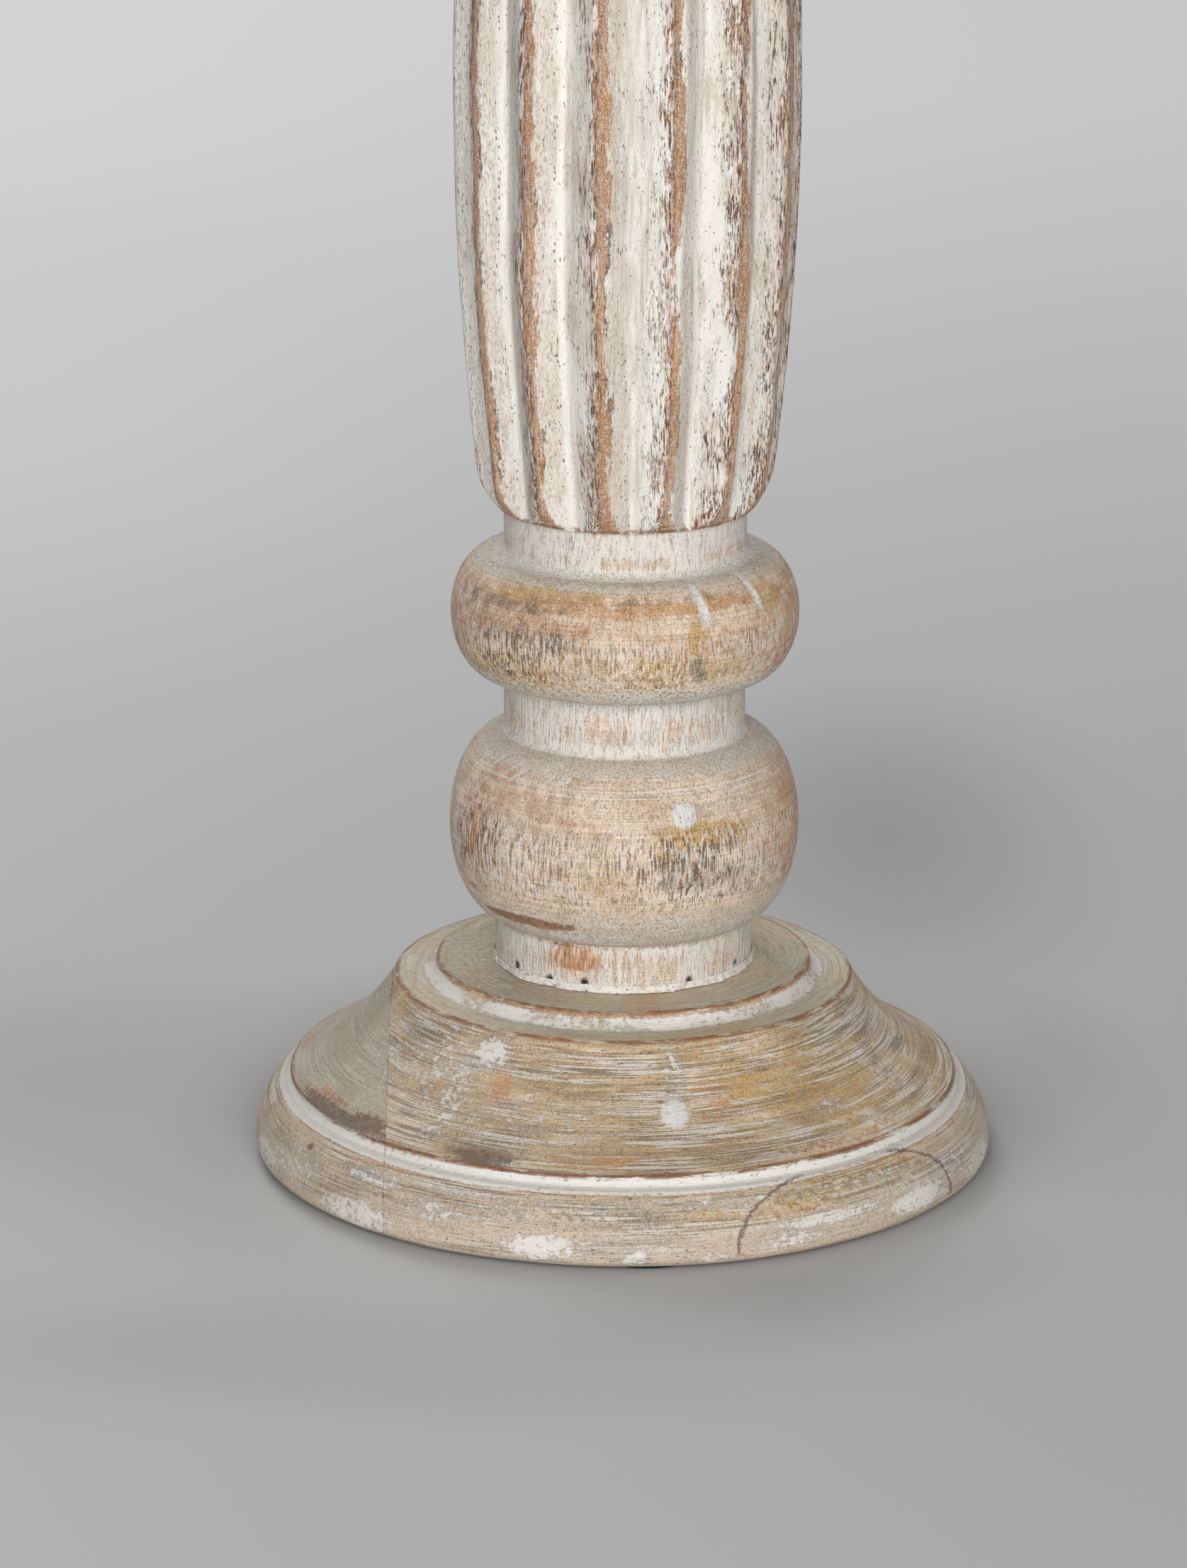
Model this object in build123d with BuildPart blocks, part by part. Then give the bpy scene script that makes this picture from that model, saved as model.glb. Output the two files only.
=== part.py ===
from build123d import *
from math import acos, asin, degrees, radians, sin, tan
import os

# Turned and fluted wooden candlestick with an iron pricket, in millimetres.
# The origin is on the surface that it stands on, at the middle of its base, and +Z is up.
# The front is towards -Y. Angles round the axis are counted from the front towards +X.

# Base, turned from a board with a narrower board glued to its left edge
base_radius = 75.0
heel_radius = 2.2
foot_height = 14.3
foot_top_radius = 69.6
fillet_height = 2.5
fillet_depth = 1.7
cone_foot_radius = 67.8
cone_height = 20.3
cone_hollow = 2.5
cone_top_radius = 46.2
disc_height = 3.2
disc_radius = 37.9
disc_cove_reach = 2.2
disc_cove_hollow = 0.6
glue_line_offset = 46.8
hollow_radius = 38.0
hollow_depth = 1.5

# Felt pads under the base
pad_radius = 10.0
pad_thickness = 1.0
pad_count = 3
pad_ring_radius = 61.5
pad_first_angle = 4.5

# Lower baluster: a ball and a bead between three necks
foot_neck_radius = 26.1
foot_neck_height = 9.1
neck_radius = 24.4
neck_flare = 1.2
ball_radius = 35.4
ball_core_radius = 24.2
ball_height = 39.0
middle_neck_height = 11.6
bead_radius = 35.0
bead_core_radius = 26.8
bead_height = 25.0
top_neck_height = 9.2
filler_reach = 1.5
filler_height = 2.2
filler_lip = 0.3
filler_hollow = 0.3

# Fluted shaft
shaft_length = 165.4
shaft_middle_radius = 34.2
shaft_shoulder_radius = 29.7
shaft_shoulder_height = 8.0
shaft_end_radius = 25.6
flute_count = 14
flute_first_angle = -9.0
flute_depth = 3.6
flute_end_depth = 0.5
flute_angle = 122.0
flute_nose_radius = 1.1

# Upper collar: a neck, a bead and a short neck under the dish
collar_neck_height = 9.2
collar_bead_radius = 33.5
collar_bead_core_radius = 25.8
collar_bead_height = 24.0
dish_neck_radius = 23.0
dish_neck_height = 7.5

# Drip dish
dish_seat_radius = 30.0
dish_seat_height = 2.5
dish_cove_foot_radius = 27.5
dish_cove_height = 9.5
dish_cove_hollow = 3.0
dish_cove_radius = 46.0
dish_fillet_height = 2.0
dish_fillet_depth = 1.5
dish_rim_height = 11.5
dish_rim_bulge = 4.0
dish_rim_width = 6.5
dish_recess_radius = 43.5
dish_recess_depth = 8.0
dish_floor_fillet = 3.0

# Iron pricket plate, spike and plate screws. The spike is brazed into a countersink in the
# plate, filled flush, so that a candle stands flat on it.
plate_radius = 27.0
plate_thickness = 2.0
spike_radius = 3.0
spike_braze = 1.0
spike_straight_length = 15.0
spike_point_length = 24.0
spike_tip_radius = 0.5
spike_shank_length = 24.0
shank_chamfer = 0.8
screw_count = 3
screw_ring_radius = 19.0
screw_radius = 1.6
screw_head_radius = 3.4
screw_length = 12.0
screw_point_length = 3.0
screw_slot_width = 0.8
screw_slot_depth = 0.7
countersink_angle = 90.0

# Tenons, dowels and the lag screw that draws the baluster down on the base
tenon_radius = 12.0
tenon_length = 22.0
dish_tenon_radius = 10.0
dish_tenon_length = 9.0
dowel_radius = 8.0
dowel_length = 40.0
peg_chamfer = 1.0
lag_radius = 3.0
lag_length = 38.0
lag_point_length = 6.0
lag_head_flats = 10.0
lag_head_height = 4.0
washer_radius = 9.0
washer_thickness = 1.6

# Clearances
wood_clearance = 0.1
end_clearance = 0.4
metal_clearance = 0.05
head_clearance = 0.8
filler_clearance = 0.05

# Heights that follow from the sizes above
base_underside = pad_thickness
hollow_ceiling = base_underside + hollow_depth
fillet_foot = base_underside + foot_height
cone_foot = fillet_foot + fillet_height
cone_top = cone_foot + cone_height
base_top = cone_top + disc_height
ball_foot = base_top + foot_neck_height
ball_top = ball_foot + ball_height
bead_foot = ball_top + middle_neck_height
bead_top = bead_foot + bead_height
shaft_foot = bead_top + top_neck_height
shaft_middle = shaft_foot + shaft_length / 2
shaft_top = shaft_foot + shaft_length
collar_bead_foot = shaft_top + collar_neck_height
collar_bead_top = collar_bead_foot + collar_bead_height
dish_foot = collar_bead_top + dish_neck_height
dish_cove_foot = dish_foot + dish_seat_height
dish_cove_top = dish_cove_foot + dish_cove_height
dish_rim_foot = dish_cove_top + dish_fillet_height
dish_top = dish_rim_foot + dish_rim_height
dish_floor = dish_top - dish_recess_depth
plate_top = dish_floor + plate_thickness

# Bores that follow from what goes in them
mortise_depth = tenon_length + end_clearance
counterbore_depth = washer_thickness + lag_head_height + head_clearance
counterbore_ceiling = hollow_ceiling + counterbore_depth
lag_shoulder = counterbore_ceiling - washer_thickness
lag_tip = lag_shoulder + lag_length
tenon_foot = base_top - tenon_length
dish_tenon_top = dish_foot + dish_tenon_length
dowel_socket_depth = dowel_length / 2 + end_clearance
shank_foot = dish_floor - spike_shank_length
countersink_depth = (screw_head_radius - screw_radius) / tan(radians(countersink_angle / 2))

os.makedirs("parts", exist_ok=True)


def front_angle(angle):
    """Polar angle from +X of an angle counted from the front."""
    return angle - 90


def facing_down(height):
    """Place on the axis at a height, from which holes are bored upwards."""
    return Location((0, 0, height), (180, 0, 0))


def bead_curve(outer, core, foot, top, neck_below, neck_above):
    """Half ellipse of a turned bead, cut off where it meets a neck wider than its core."""
    reach = outer - core
    below = degrees(acos(max(neck_below - core, 0) / reach))
    above = degrees(acos(max(neck_above - core, 0) / reach))
    middle = (core, (foot + top) / 2)
    return EllipticalCenterArc(middle, reach, (top - foot) / 2, -below, arc_size=below + above)


def flare(neck, height, width):
    """Small cove at the foot of a neck, from the bead below it into the neck."""
    return TangentArc((neck, height + width), (neck + width, height), tangent=(0, -1))


def turn_base():
    """The turned base as one disc, before its glue line is shown."""
    with BuildPart() as disc:
        with BuildSketch(Plane.XZ):
            with BuildLine():
                heel = base_radius - heel_radius
                underside = Polyline(
                    (0, hollow_ceiling),
                    (hollow_radius, hollow_ceiling),
                    (hollow_radius, base_underside),
                    (heel, base_underside),
                )
                round_heel = TangentArc(
                    underside @ 1, (base_radius, base_underside + heel_radius), tangent=(1, 0)
                )
                ovolo = TangentArc(round_heel @ 1, (foot_top_radius, fillet_foot), tangent=(0, 1))
                fillet_edge = (cone_foot_radius, cone_foot)
                Polyline(ovolo @ 1, (foot_top_radius - fillet_depth, fillet_foot), fillet_edge)
                cone = SagittaArc(fillet_edge, (cone_top_radius, cone_top), cone_hollow)
                ledge = Line(cone @ 1, (disc_radius + disc_cove_reach, cone_top))
                cove = SagittaArc(ledge @ 1, (disc_radius, base_top), disc_cove_hollow)
                Polyline(cove @ 1, (0, base_top), (0, hollow_ceiling))
            make_face()
        revolve(axis=Axis.Z)
        with Locations((0, 0, base_top)):
            Hole(radius=tenon_radius + wood_clearance, depth=mortise_depth)
        with Locations(facing_down(hollow_ceiling)):
            CounterBoreHole(
                radius=lag_radius + wood_clearance,
                counter_bore_radius=washer_radius + head_clearance,
                counter_bore_depth=counterbore_depth,
                depth=base_top - hollow_ceiling,
            )
    return disc.part


glue_plane = Plane.YZ.offset(-glue_line_offset)

with BuildPart() as base_foot:
    add(turn_base())
    split(bisect_by=glue_plane, keep=Keep.TOP)
base_foot.part.label = "base_foot"
export_step(base_foot.part, "parts/base_foot.step")

with BuildPart() as base_edge_block:
    add(turn_base())
    split(bisect_by=glue_plane, keep=Keep.BOTTOM)
base_edge_block.part.label = "base_edge_block"
export_step(base_edge_block.part, "parts/base_edge_block.step")

with BuildPart() as felt_pads:
    with BuildSketch():
        with PolarLocations(pad_ring_radius, pad_count, start_angle=front_angle(pad_first_angle)):
            Circle(pad_radius)
    extrude(amount=pad_thickness)
felt_pads.part.label = "felt_pads"
export_step(felt_pads.part, "parts/felt_pads.step")

with BuildPart() as base_washer:
    with BuildSketch(Plane.XY.offset(lag_shoulder)):
        Circle(washer_radius)
        Circle(lag_radius + wood_clearance, mode=Mode.SUBTRACT)
    extrude(amount=washer_thickness)
base_washer.part.label = "base_washer"
export_step(base_washer.part, "parts/base_washer.step")

with BuildPart() as base_screw:
    with BuildSketch(Plane.XY.offset(lag_shoulder)):
        RegularPolygon(radius=lag_head_flats / 2, side_count=6, major_radius=False)
    extrude(amount=-lag_head_height)
    with BuildSketch(Plane.XZ):
        with BuildLine():
            Polyline(
                (0, lag_shoulder - lag_head_height / 2),
                (lag_radius, lag_shoulder - lag_head_height / 2),
                (lag_radius, lag_tip - lag_point_length),
                (0, lag_tip),
                close=True,
            )
        make_face()
    revolve(axis=Axis.Z)
base_screw.part.label = "base_screw"
export_step(base_screw.part, "parts/base_screw.step")

with BuildPart() as lower_baluster:
    with BuildSketch(Plane.XZ):
        with BuildLine():
            tenon = Polyline(
                (0, tenon_foot),
                (tenon_radius - peg_chamfer, tenon_foot),
                (tenon_radius, tenon_foot + peg_chamfer),
                (tenon_radius, base_top),
                (foot_neck_radius, base_top),
            )
            flared = neck_radius + neck_flare
            ball = bead_curve(
                ball_radius, ball_core_radius, ball_foot, ball_top, foot_neck_radius, flared
            )
            Line(tenon @ 1, ball @ 0)
            middle_flare = flare(neck_radius, (ball @ 1).Y, neck_flare)
            Line(ball @ 1, middle_flare @ 1)
            bead = bead_curve(
                bead_radius, bead_core_radius, bead_foot, bead_top, neck_radius, flared
            )
            Polyline(middle_flare @ 0, (neck_radius, (bead @ 0).Y), bead @ 0)
            top_flare = flare(neck_radius, (bead @ 1).Y, neck_flare)
            Line(bead @ 1, top_flare @ 1)
            Polyline(top_flare @ 0, (neck_radius, shaft_foot), (0, shaft_foot), (0, tenon_foot))
        make_face()
    revolve(axis=Axis.Z)
    with Locations((0, 0, shaft_foot)):
        Hole(radius=dowel_radius + wood_clearance, depth=dowel_socket_depth)
    with Locations(facing_down(tenon_foot)):
        Hole(radius=lag_radius + metal_clearance, depth=lag_tip + end_clearance - tenon_foot)
lower_baluster.part.label = "lower_baluster"
export_step(lower_baluster.part, "parts/lower_baluster.step")

with BuildPart() as joint_filler:
    with BuildSketch(Plane.XZ):
        with BuildLine():
            filler_bore = foot_neck_radius + filler_clearance
            skirt = Polyline(
                (filler_bore, base_top + filler_height),
                (filler_bore, base_top),
                (foot_neck_radius + filler_reach, base_top),
                (foot_neck_radius + filler_reach, base_top + filler_lip),
            )
            lip = (filler_bore + filler_lip, base_top + filler_height)
            SagittaArc(skirt @ 1, lip, filler_hollow)
            Line(lip, skirt @ 0)
        make_face()
    revolve(axis=Axis.Z)
joint_filler.part.label = "joint_filler"
export_step(joint_filler.part, "parts/joint_filler.step")


def dowel(middle):
    """Round dowel with chamfered ends, standing on the axis."""
    with BuildPart() as peg:
        with BuildSketch(Plane.XY.offset(middle - dowel_length / 2)):
            Circle(dowel_radius)
        extrude(amount=dowel_length)
        chamfer(peg.edges().filter_by(GeomType.CIRCLE), length=peg_chamfer)
    return peg.part


with BuildPart() as lower_dowel:
    add(dowel(shaft_foot))
lower_dowel.part.label = "lower_dowel"
export_step(lower_dowel.part, "parts/lower_dowel.step")

with BuildPart() as upper_dowel:
    add(dowel(shaft_top))
upper_dowel.part.label = "upper_dowel"
export_step(upper_dowel.part, "parts/upper_dowel.step")


# The flutes are cut by a V cutter that swings about a far axis, so each groove follows
# the swell of the shaft and grows shallow towards its ends.
groove_middle_radius = shaft_middle_radius - flute_depth
groove_end_radius = shaft_end_radius - flute_end_depth
groove_rise = groove_middle_radius - groove_end_radius
swing_radius = ((shaft_length / 2) ** 2 + groove_rise**2) / (2 * groove_rise)
swing_half_angle = degrees(asin((shaft_length / 2 + flute_depth) / swing_radius))
cutter_reach = 2 * flute_depth
cutter_half_angle = radians(flute_angle / 2)
cutter_tip = groove_middle_radius - flute_nose_radius * (1 / sin(cutter_half_angle) - 1)

with BuildPart() as flute_cutter:
    with BuildSketch(Plane.XY.offset(shaft_middle)) as cutter_section:
        with BuildLine():
            Polyline(
                (cutter_tip + cutter_reach, cutter_reach * tan(cutter_half_angle)),
                (cutter_tip, 0),
                (cutter_tip + cutter_reach, -cutter_reach * tan(cutter_half_angle)),
                close=True,
            )
        make_face()
        fillet(cutter_section.vertices().sort_by(Axis.X)[0], radius=flute_nose_radius)
    swing_axis = Axis((groove_middle_radius - swing_radius, 0, shaft_middle), (0, 1, 0))
    revolve(cutter_section.sketch, axis=swing_axis, revolution_arc=swing_half_angle)
    revolve(cutter_section.sketch, axis=swing_axis, revolution_arc=-swing_half_angle)

with BuildPart() as fluted_shaft:
    with BuildSketch(Plane.XZ):
        with BuildLine():
            swell = ThreePointArc(
                (shaft_shoulder_radius, shaft_foot + shaft_shoulder_height),
                (shaft_middle_radius, shaft_middle),
                (shaft_shoulder_radius, shaft_top - shaft_shoulder_height),
            )
            low_end = TangentArc(swell @ 0, (shaft_end_radius, shaft_foot), tangent=(swell % 0) * -1)
            high_end = TangentArc(swell @ 1, (shaft_end_radius, shaft_top), tangent=swell % 1)
            Polyline(low_end @ 1, (0, shaft_foot), (0, shaft_top), high_end @ 1)
        make_face()
    revolve(axis=Axis.Z)
    with Locations((0, 0, shaft_top), facing_down(shaft_foot)):
        Hole(radius=dowel_radius + wood_clearance, depth=dowel_socket_depth)
    flute_pitch = 360 / flute_count
    with PolarLocations(0, flute_count, front_angle(flute_first_angle + flute_pitch / 2)):
        add(flute_cutter.part, mode=Mode.SUBTRACT)
fluted_shaft.part.label = "fluted_shaft"
export_step(fluted_shaft.part, "parts/fluted_shaft.step")

with BuildPart() as upper_collar:
    with BuildSketch(Plane.XZ):
        with BuildLine():
            foot_flare = flare(neck_radius, shaft_top, neck_flare)
            Polyline((0, dish_tenon_top), (0, shaft_top), foot_flare @ 1)
            flared = dish_neck_radius + neck_flare
            bead = bead_curve(
                collar_bead_radius,
                collar_bead_core_radius,
                collar_bead_foot,
                collar_bead_top,
                neck_radius,
                flared,
            )
            Polyline(foot_flare @ 0, (neck_radius, (bead @ 0).Y), bead @ 0)
            dish_flare = flare(dish_neck_radius, (bead @ 1).Y, neck_flare)
            Line(bead @ 1, dish_flare @ 1)
            Polyline(
                dish_flare @ 0,
                (dish_neck_radius, dish_foot),
                (dish_tenon_radius, dish_foot),
                (dish_tenon_radius, dish_tenon_top - peg_chamfer),
                (dish_tenon_radius - peg_chamfer, dish_tenon_top),
                (0, dish_tenon_top),
            )
        make_face()
    revolve(axis=Axis.Z)
    with Locations(facing_down(shaft_top)):
        Hole(radius=dowel_radius + wood_clearance, depth=dowel_socket_depth)
    with Locations((0, 0, dish_tenon_top)):
        Hole(
            radius=spike_radius + metal_clearance,
            depth=dish_tenon_top - shank_foot + end_clearance,
        )
upper_collar.part.label = "upper_collar"
export_step(upper_collar.part, "parts/upper_collar.step")

with BuildPart() as drip_dish:
    with BuildSketch(Plane.XZ):
        with BuildLine():
            seat = Polyline(
                (0, dish_floor),
                (0, dish_foot),
                (dish_seat_radius, dish_foot),
                (dish_seat_radius, dish_cove_foot),
                (dish_cove_foot_radius, dish_cove_foot),
            )
            cove = SagittaArc(seat @ 1, (dish_cove_radius, dish_cove_top), dish_cove_hollow)
            rim_foot = (dish_cove_radius + dish_fillet_depth, dish_rim_foot)
            Polyline(cove @ 1, (dish_cove_radius, dish_rim_foot), rim_foot)
            rim_edge = dish_recess_radius + dish_rim_width
            rim = SagittaArc(rim_foot, (rim_edge, dish_top), -dish_rim_bulge)
            corner = TangentArc(
                (dish_recess_radius, dish_floor + dish_floor_fillet),
                (dish_recess_radius - dish_floor_fillet, dish_floor),
                tangent=(0, -1),
            )
            Polyline(rim @ 1, (dish_recess_radius, dish_top), corner @ 0)
            Line(corner @ 1, seat @ 0)
        make_face()
    revolve(axis=Axis.Z)
    with Locations(facing_down(dish_foot)):
        Hole(radius=dish_tenon_radius + wood_clearance, depth=dish_tenon_length + end_clearance)
    with Locations((0, 0, dish_floor)):
        Hole(radius=spike_radius + metal_clearance, depth=dish_floor - dish_foot)
        with PolarLocations(screw_ring_radius, screw_count, front_angle(0)):
            pilot_depth = screw_length + end_clearance - plate_thickness
            Hole(radius=screw_radius + metal_clearance, depth=pilot_depth)
drip_dish.part.label = "drip_dish"
export_step(drip_dish.part, "parts/drip_dish.step")

with BuildPart() as pricket_plate:
    with BuildSketch(Plane.XY.offset(dish_floor)):
        Circle(plate_radius)
    extrude(amount=plate_thickness)
    with Locations((0, 0, plate_top)):
        CounterSinkHole(
            radius=spike_radius + metal_clearance,
            counter_sink_radius=spike_radius + spike_braze + metal_clearance,
            counter_sink_angle=countersink_angle,
            depth=plate_thickness,
        )
        with PolarLocations(screw_ring_radius, screw_count, front_angle(0)):
            CounterSinkHole(
                radius=screw_radius + metal_clearance,
                counter_sink_radius=screw_head_radius + metal_clearance,
                counter_sink_angle=countersink_angle,
                depth=plate_thickness,
            )
pricket_plate.part.label = "pricket_plate"
export_step(pricket_plate.part, "parts/pricket_plate.step")

with BuildPart() as pricket_spike:
    with BuildSketch(Plane.XZ):
        with BuildLine():
            spike_straight_top = plate_top + spike_straight_length
            Polyline(
                (0, shank_foot),
                (spike_radius - shank_chamfer, shank_foot),
                (spike_radius, shank_foot + shank_chamfer),
                (spike_radius, plate_top - spike_braze),
                (spike_radius + spike_braze, plate_top),
                (spike_radius, plate_top),
                (spike_radius, spike_straight_top),
                (spike_tip_radius, spike_straight_top + spike_point_length),
                (0, spike_straight_top + spike_point_length),
                close=True,
            )
        make_face()
    revolve(axis=Axis.Z)
pricket_spike.part.label = "pricket_spike"
export_step(pricket_spike.part, "parts/pricket_spike.step")

with BuildPart() as plate_screw:
    with BuildSketch(Plane.XZ):
        with BuildLine():
            Polyline(
                (0, 0),
                (screw_head_radius, 0),
                (screw_radius, -countersink_depth),
                (screw_radius, screw_point_length - screw_length),
                (0, -screw_length),
                close=True,
            )
        make_face()
    revolve(axis=Axis.Z)
    with BuildSketch():
        Rectangle(2 * screw_head_radius, screw_slot_width)
    extrude(amount=-screw_slot_depth, mode=Mode.SUBTRACT)

with BuildPart() as plate_screws:
    with Locations((0, 0, plate_top)):
        with PolarLocations(screw_ring_radius, screw_count, front_angle(0)):
            add(plate_screw.part)
plate_screws.part.label = "plate_screws"
export_step(plate_screws.part, "parts/plate_screws.step")
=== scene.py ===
"""Fine shapes and finishes of a turned and fluted wooden candlestick, round its packed model.

Lengths are metres in the model's own frame: +Z is up, the front is towards -Y and the
candlestick stands on z = 0. Angles round the axis are degrees from the front towards +X.
"""

import math
from functools import reduce

import bpy
import numpy as np
from bpy.props import FloatProperty, FloatVectorProperty, IntProperty, PointerProperty
from mathutils import Matrix, Vector


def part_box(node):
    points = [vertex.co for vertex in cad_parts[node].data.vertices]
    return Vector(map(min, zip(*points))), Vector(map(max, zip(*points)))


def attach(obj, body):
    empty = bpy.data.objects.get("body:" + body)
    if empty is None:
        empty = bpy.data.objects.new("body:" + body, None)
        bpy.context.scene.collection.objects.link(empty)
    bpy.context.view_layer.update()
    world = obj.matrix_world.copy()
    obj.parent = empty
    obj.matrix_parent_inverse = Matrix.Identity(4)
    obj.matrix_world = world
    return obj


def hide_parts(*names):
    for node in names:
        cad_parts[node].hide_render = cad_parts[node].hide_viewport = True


bl_info = {
    "name": "Limed Candlestick",
    "version": (1, 0, 0),
    "blender": (4, 5, 0),
    "location": "3D View > Sidebar > Candlestick",
    "description": "Fine shapes and finishes of a turned and fluted wooden candlestick",
    "category": "Object",
}

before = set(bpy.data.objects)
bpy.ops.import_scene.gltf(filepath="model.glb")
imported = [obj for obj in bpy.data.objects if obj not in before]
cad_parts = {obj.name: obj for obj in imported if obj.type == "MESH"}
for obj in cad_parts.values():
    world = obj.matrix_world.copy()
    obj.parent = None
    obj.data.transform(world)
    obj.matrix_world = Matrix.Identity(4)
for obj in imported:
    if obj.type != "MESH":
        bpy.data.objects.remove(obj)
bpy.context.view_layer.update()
MM = 0.001
FULL_TURN = 2 * math.pi
QUARTER_BOW = 0.29  # bulge of a quarter round, as a share of its radius
SAME_PLACE = 1e-6  # points nearer than this are one
ARC_STEP = 0.3 * MM  # between the points of an arc
OVAL_STEPS = 160
SHARP_TURN = 0.35  # in radians: an outline that turns more has a corner there
FINISHES = {}  # materials by the name of their slot


def node_radius(node):
    """Radius of a packed node that is turned on the axis."""
    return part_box(node)[1].x


def node_foot(node):
    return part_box(node)[0].z


def node_top(node):
    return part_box(node)[1].z


# ---------------------------------------------------------------- settings


def number(name, description, default, **settings):
    return FloatProperty(name=name, description=description, default=default, **settings)


def length(name, description, default):
    """A length that the user may change, given in mm."""
    return number(
        name, description, default * MM, min=0.0, unit="LENGTH", subtype="DISTANCE", precision=4
    )


def tint(name, description, red, green, blue):
    """A colour that the user may change, given as it looks, from 0 to 255."""
    def linear(value):
        value /= 255
        return value / 12.92 if value <= 0.04045 else ((value + 0.055) / 1.055) ** 2.4

    return FloatVectorProperty(
        name=name, description=description, subtype="COLOR", size=3, min=0.0, max=1.0,
        default=(linear(red), linear(green), linear(blue)),
    )


class BaseSizes(bpy.types.PropertyGroup):
    """Outline of the stepped base."""

    heel: length("Heel", "Rounding where the side meets the underside", 2.2)
    foot_height: length("Foot height", "Height of the rounded foot", 14.3)
    foot_top_radius: length("Foot top radius", "Radius of the foot at its top", 69.6)
    fillet_height: length("Fillet height", "Height of the white fillet over the foot", 2.5)
    cone_foot_radius: length("Cone foot radius", "Radius where the hollow cone starts", 67.8)
    cone_height: length("Cone height", "Height of the hollow cone", 20.3)
    cone_hollow: length("Cone hollow", "Depth of the hollow in the cone", 2.5)
    cone_top_radius: length("Cone top radius", "Radius where the cone ends", 46.2)
    disc_radius: length("Disc radius", "Radius of the raised disc", 37.9)
    disc_cove_reach: length("Disc cove reach", "How far the cove under the disc runs out", 2.2)
    recess_radius: length("Recess radius", "Radius of the recess underneath", 38.0)
    recess_depth: length("Recess depth", "Depth of the recess underneath", 1.5)
    glue_line: length("Glue line", "Distance of the glued edge block from the axis", 46.8)
    glue_gap: length("Glue gap", "Width of the fine line along the glued joint", 0.05)
    scoring: length("Scoring", "Depth of the fine lines left by turning", 0.06)


class BalusterSizes(bpy.types.PropertyGroup):
    """Outline of the ball, the bead and their necks."""

    foot_neck_radius: length("Foot neck radius", "Radius of the neck on the base", 26.1)
    foot_neck_height: length("Foot neck height", "Height of the neck on the base", 9.1)
    neck_radius: length("Neck radius", "Radius of the two upper necks", 24.4)
    neck_flare: length("Neck flare", "Small cove at the foot of a neck", 1.2)
    ball_core: length("Ball core", "Radius at which the ball's half oval starts", 24.2)
    ball_height: length("Ball height", "Height of the ball", 39.0)
    middle_neck_height: length("Middle neck height", "Height between ball and bead", 11.6)
    bead_radius: length("Bead radius", "Radius of the bead", 35.0)
    bead_core: length("Bead core", "Radius at which the bead's half oval starts", 26.8)
    bead_height: length("Bead height", "Height of the bead", 25.0)
    tenon_radius: length("Tenon radius", "Radius of the round tenon in the base", 12.0)
    scoring: length("Scoring", "Depth of the fine lines left by turning", 0.04)


class ShaftSizes(bpy.types.PropertyGroup):
    """Swell and flutes of the shaft."""

    middle_radius: length("Middle radius", "Radius at the widest point", 34.2)
    shoulder_radius: length("Shoulder radius", "Radius where the ends start to round in", 29.7)
    shoulder_height: length("Shoulder height", "Height over which each end rounds in", 8.0)
    end_radius: length("End radius", "Radius of the flat ends", 25.6)
    flute_count: IntProperty(name="Flutes", description="Number of flutes", default=14, min=3)
    first_crest: number("First crest", "Angle of one crest from the front, in degrees", -9.0)
    flute_depth: length("Flute depth", "Depth of a flute at the middle", 3.6)
    flute_end_depth: length("Flute end depth", "Depth of a flute at the ends", 0.5)
    flute_angle: number("Flute angle", "Angle between a flute's walls, in degrees", 122.0)
    flute_nose: length("Flute nose", "Rounding at the bottom of a flute", 0.75)
    flute_place: number("Flute place", "Where its bottom lies, from crest to crest", 0.45)
    wander: length("Wander", "How far the hand-cut crests wander sideways", 0.35)


class TopSizes(bpy.types.PropertyGroup):
    """Outline of the collar and the drip dish."""

    neck_height: length("Neck height", "Height of the collar's neck", 9.2)
    bead_core: length("Bead core", "Radius at which the collar's half oval starts", 25.8)
    bead_height: length("Bead height", "Height of the collar's bead", 24.0)
    dish_neck_radius: length("Dish neck radius", "Radius of the neck under the dish", 23.0)
    seat_radius: length("Seat radius", "Radius of the dish's foot ring", 30.0)
    seat_height: length("Seat height", "Height of the dish's foot ring", 2.5)
    cove_foot_radius: length("Cove foot radius", "Radius where the dish's cove starts", 27.5)
    cove_height: length("Cove height", "Height of the dish's cove", 9.5)
    cove_radius: length("Cove radius", "Radius where the dish's cove ends", 46.0)
    cove_hollow: length("Cove hollow", "Depth of the dish's cove", 3.0)
    fillet_height: length("Fillet height", "Height of the fillet over the cove", 2.0)
    fillet_depth: length("Fillet depth", "How far the rim stands out over the fillet", 1.5)
    rim_bulge: length("Rim bulge", "How far the rim swells", 4.0)
    rim_width: length("Rim width", "Width of the rim's flat top", 6.5)
    recess_radius: length("Recess radius", "Radius of the recess for wax", 43.5)
    recess_depth: length("Recess depth", "Depth of the recess for wax", 8.0)
    floor_fillet: length("Floor fillet", "Rounding round the floor of the recess", 3.0)


class IronSizes(bpy.types.PropertyGroup):
    """Pricket plate, spike and screws."""

    plate_bevel: length("Plate bevel", "Rounding of the plate's upper edge", 0.6)
    hammer_size: length("Hammer mark", "Size of a hammer mark", 4.0)
    hammer_depth: length("Hammer depth", "Depth of a hammer mark", 0.16)
    spike_radius: length("Spike radius", "Radius of the spike's straight part", 3.0)
    point_length: length("Point length", "Length of the spike's point", 24.0)
    tip_radius: length("Tip radius", "Rounding of the spike's tip", 0.5)
    braze: length("Braze", "Depth and width of the braze round the spike", 1.0)
    screw_ring: length("Screw ring", "Distance of the screws from the axis", 19.0)
    screw_radius: length("Screw radius", "Radius of a screw's shank", 1.6)
    screw_head: length("Screw head", "Radius of a screw's head", 3.4)


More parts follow.
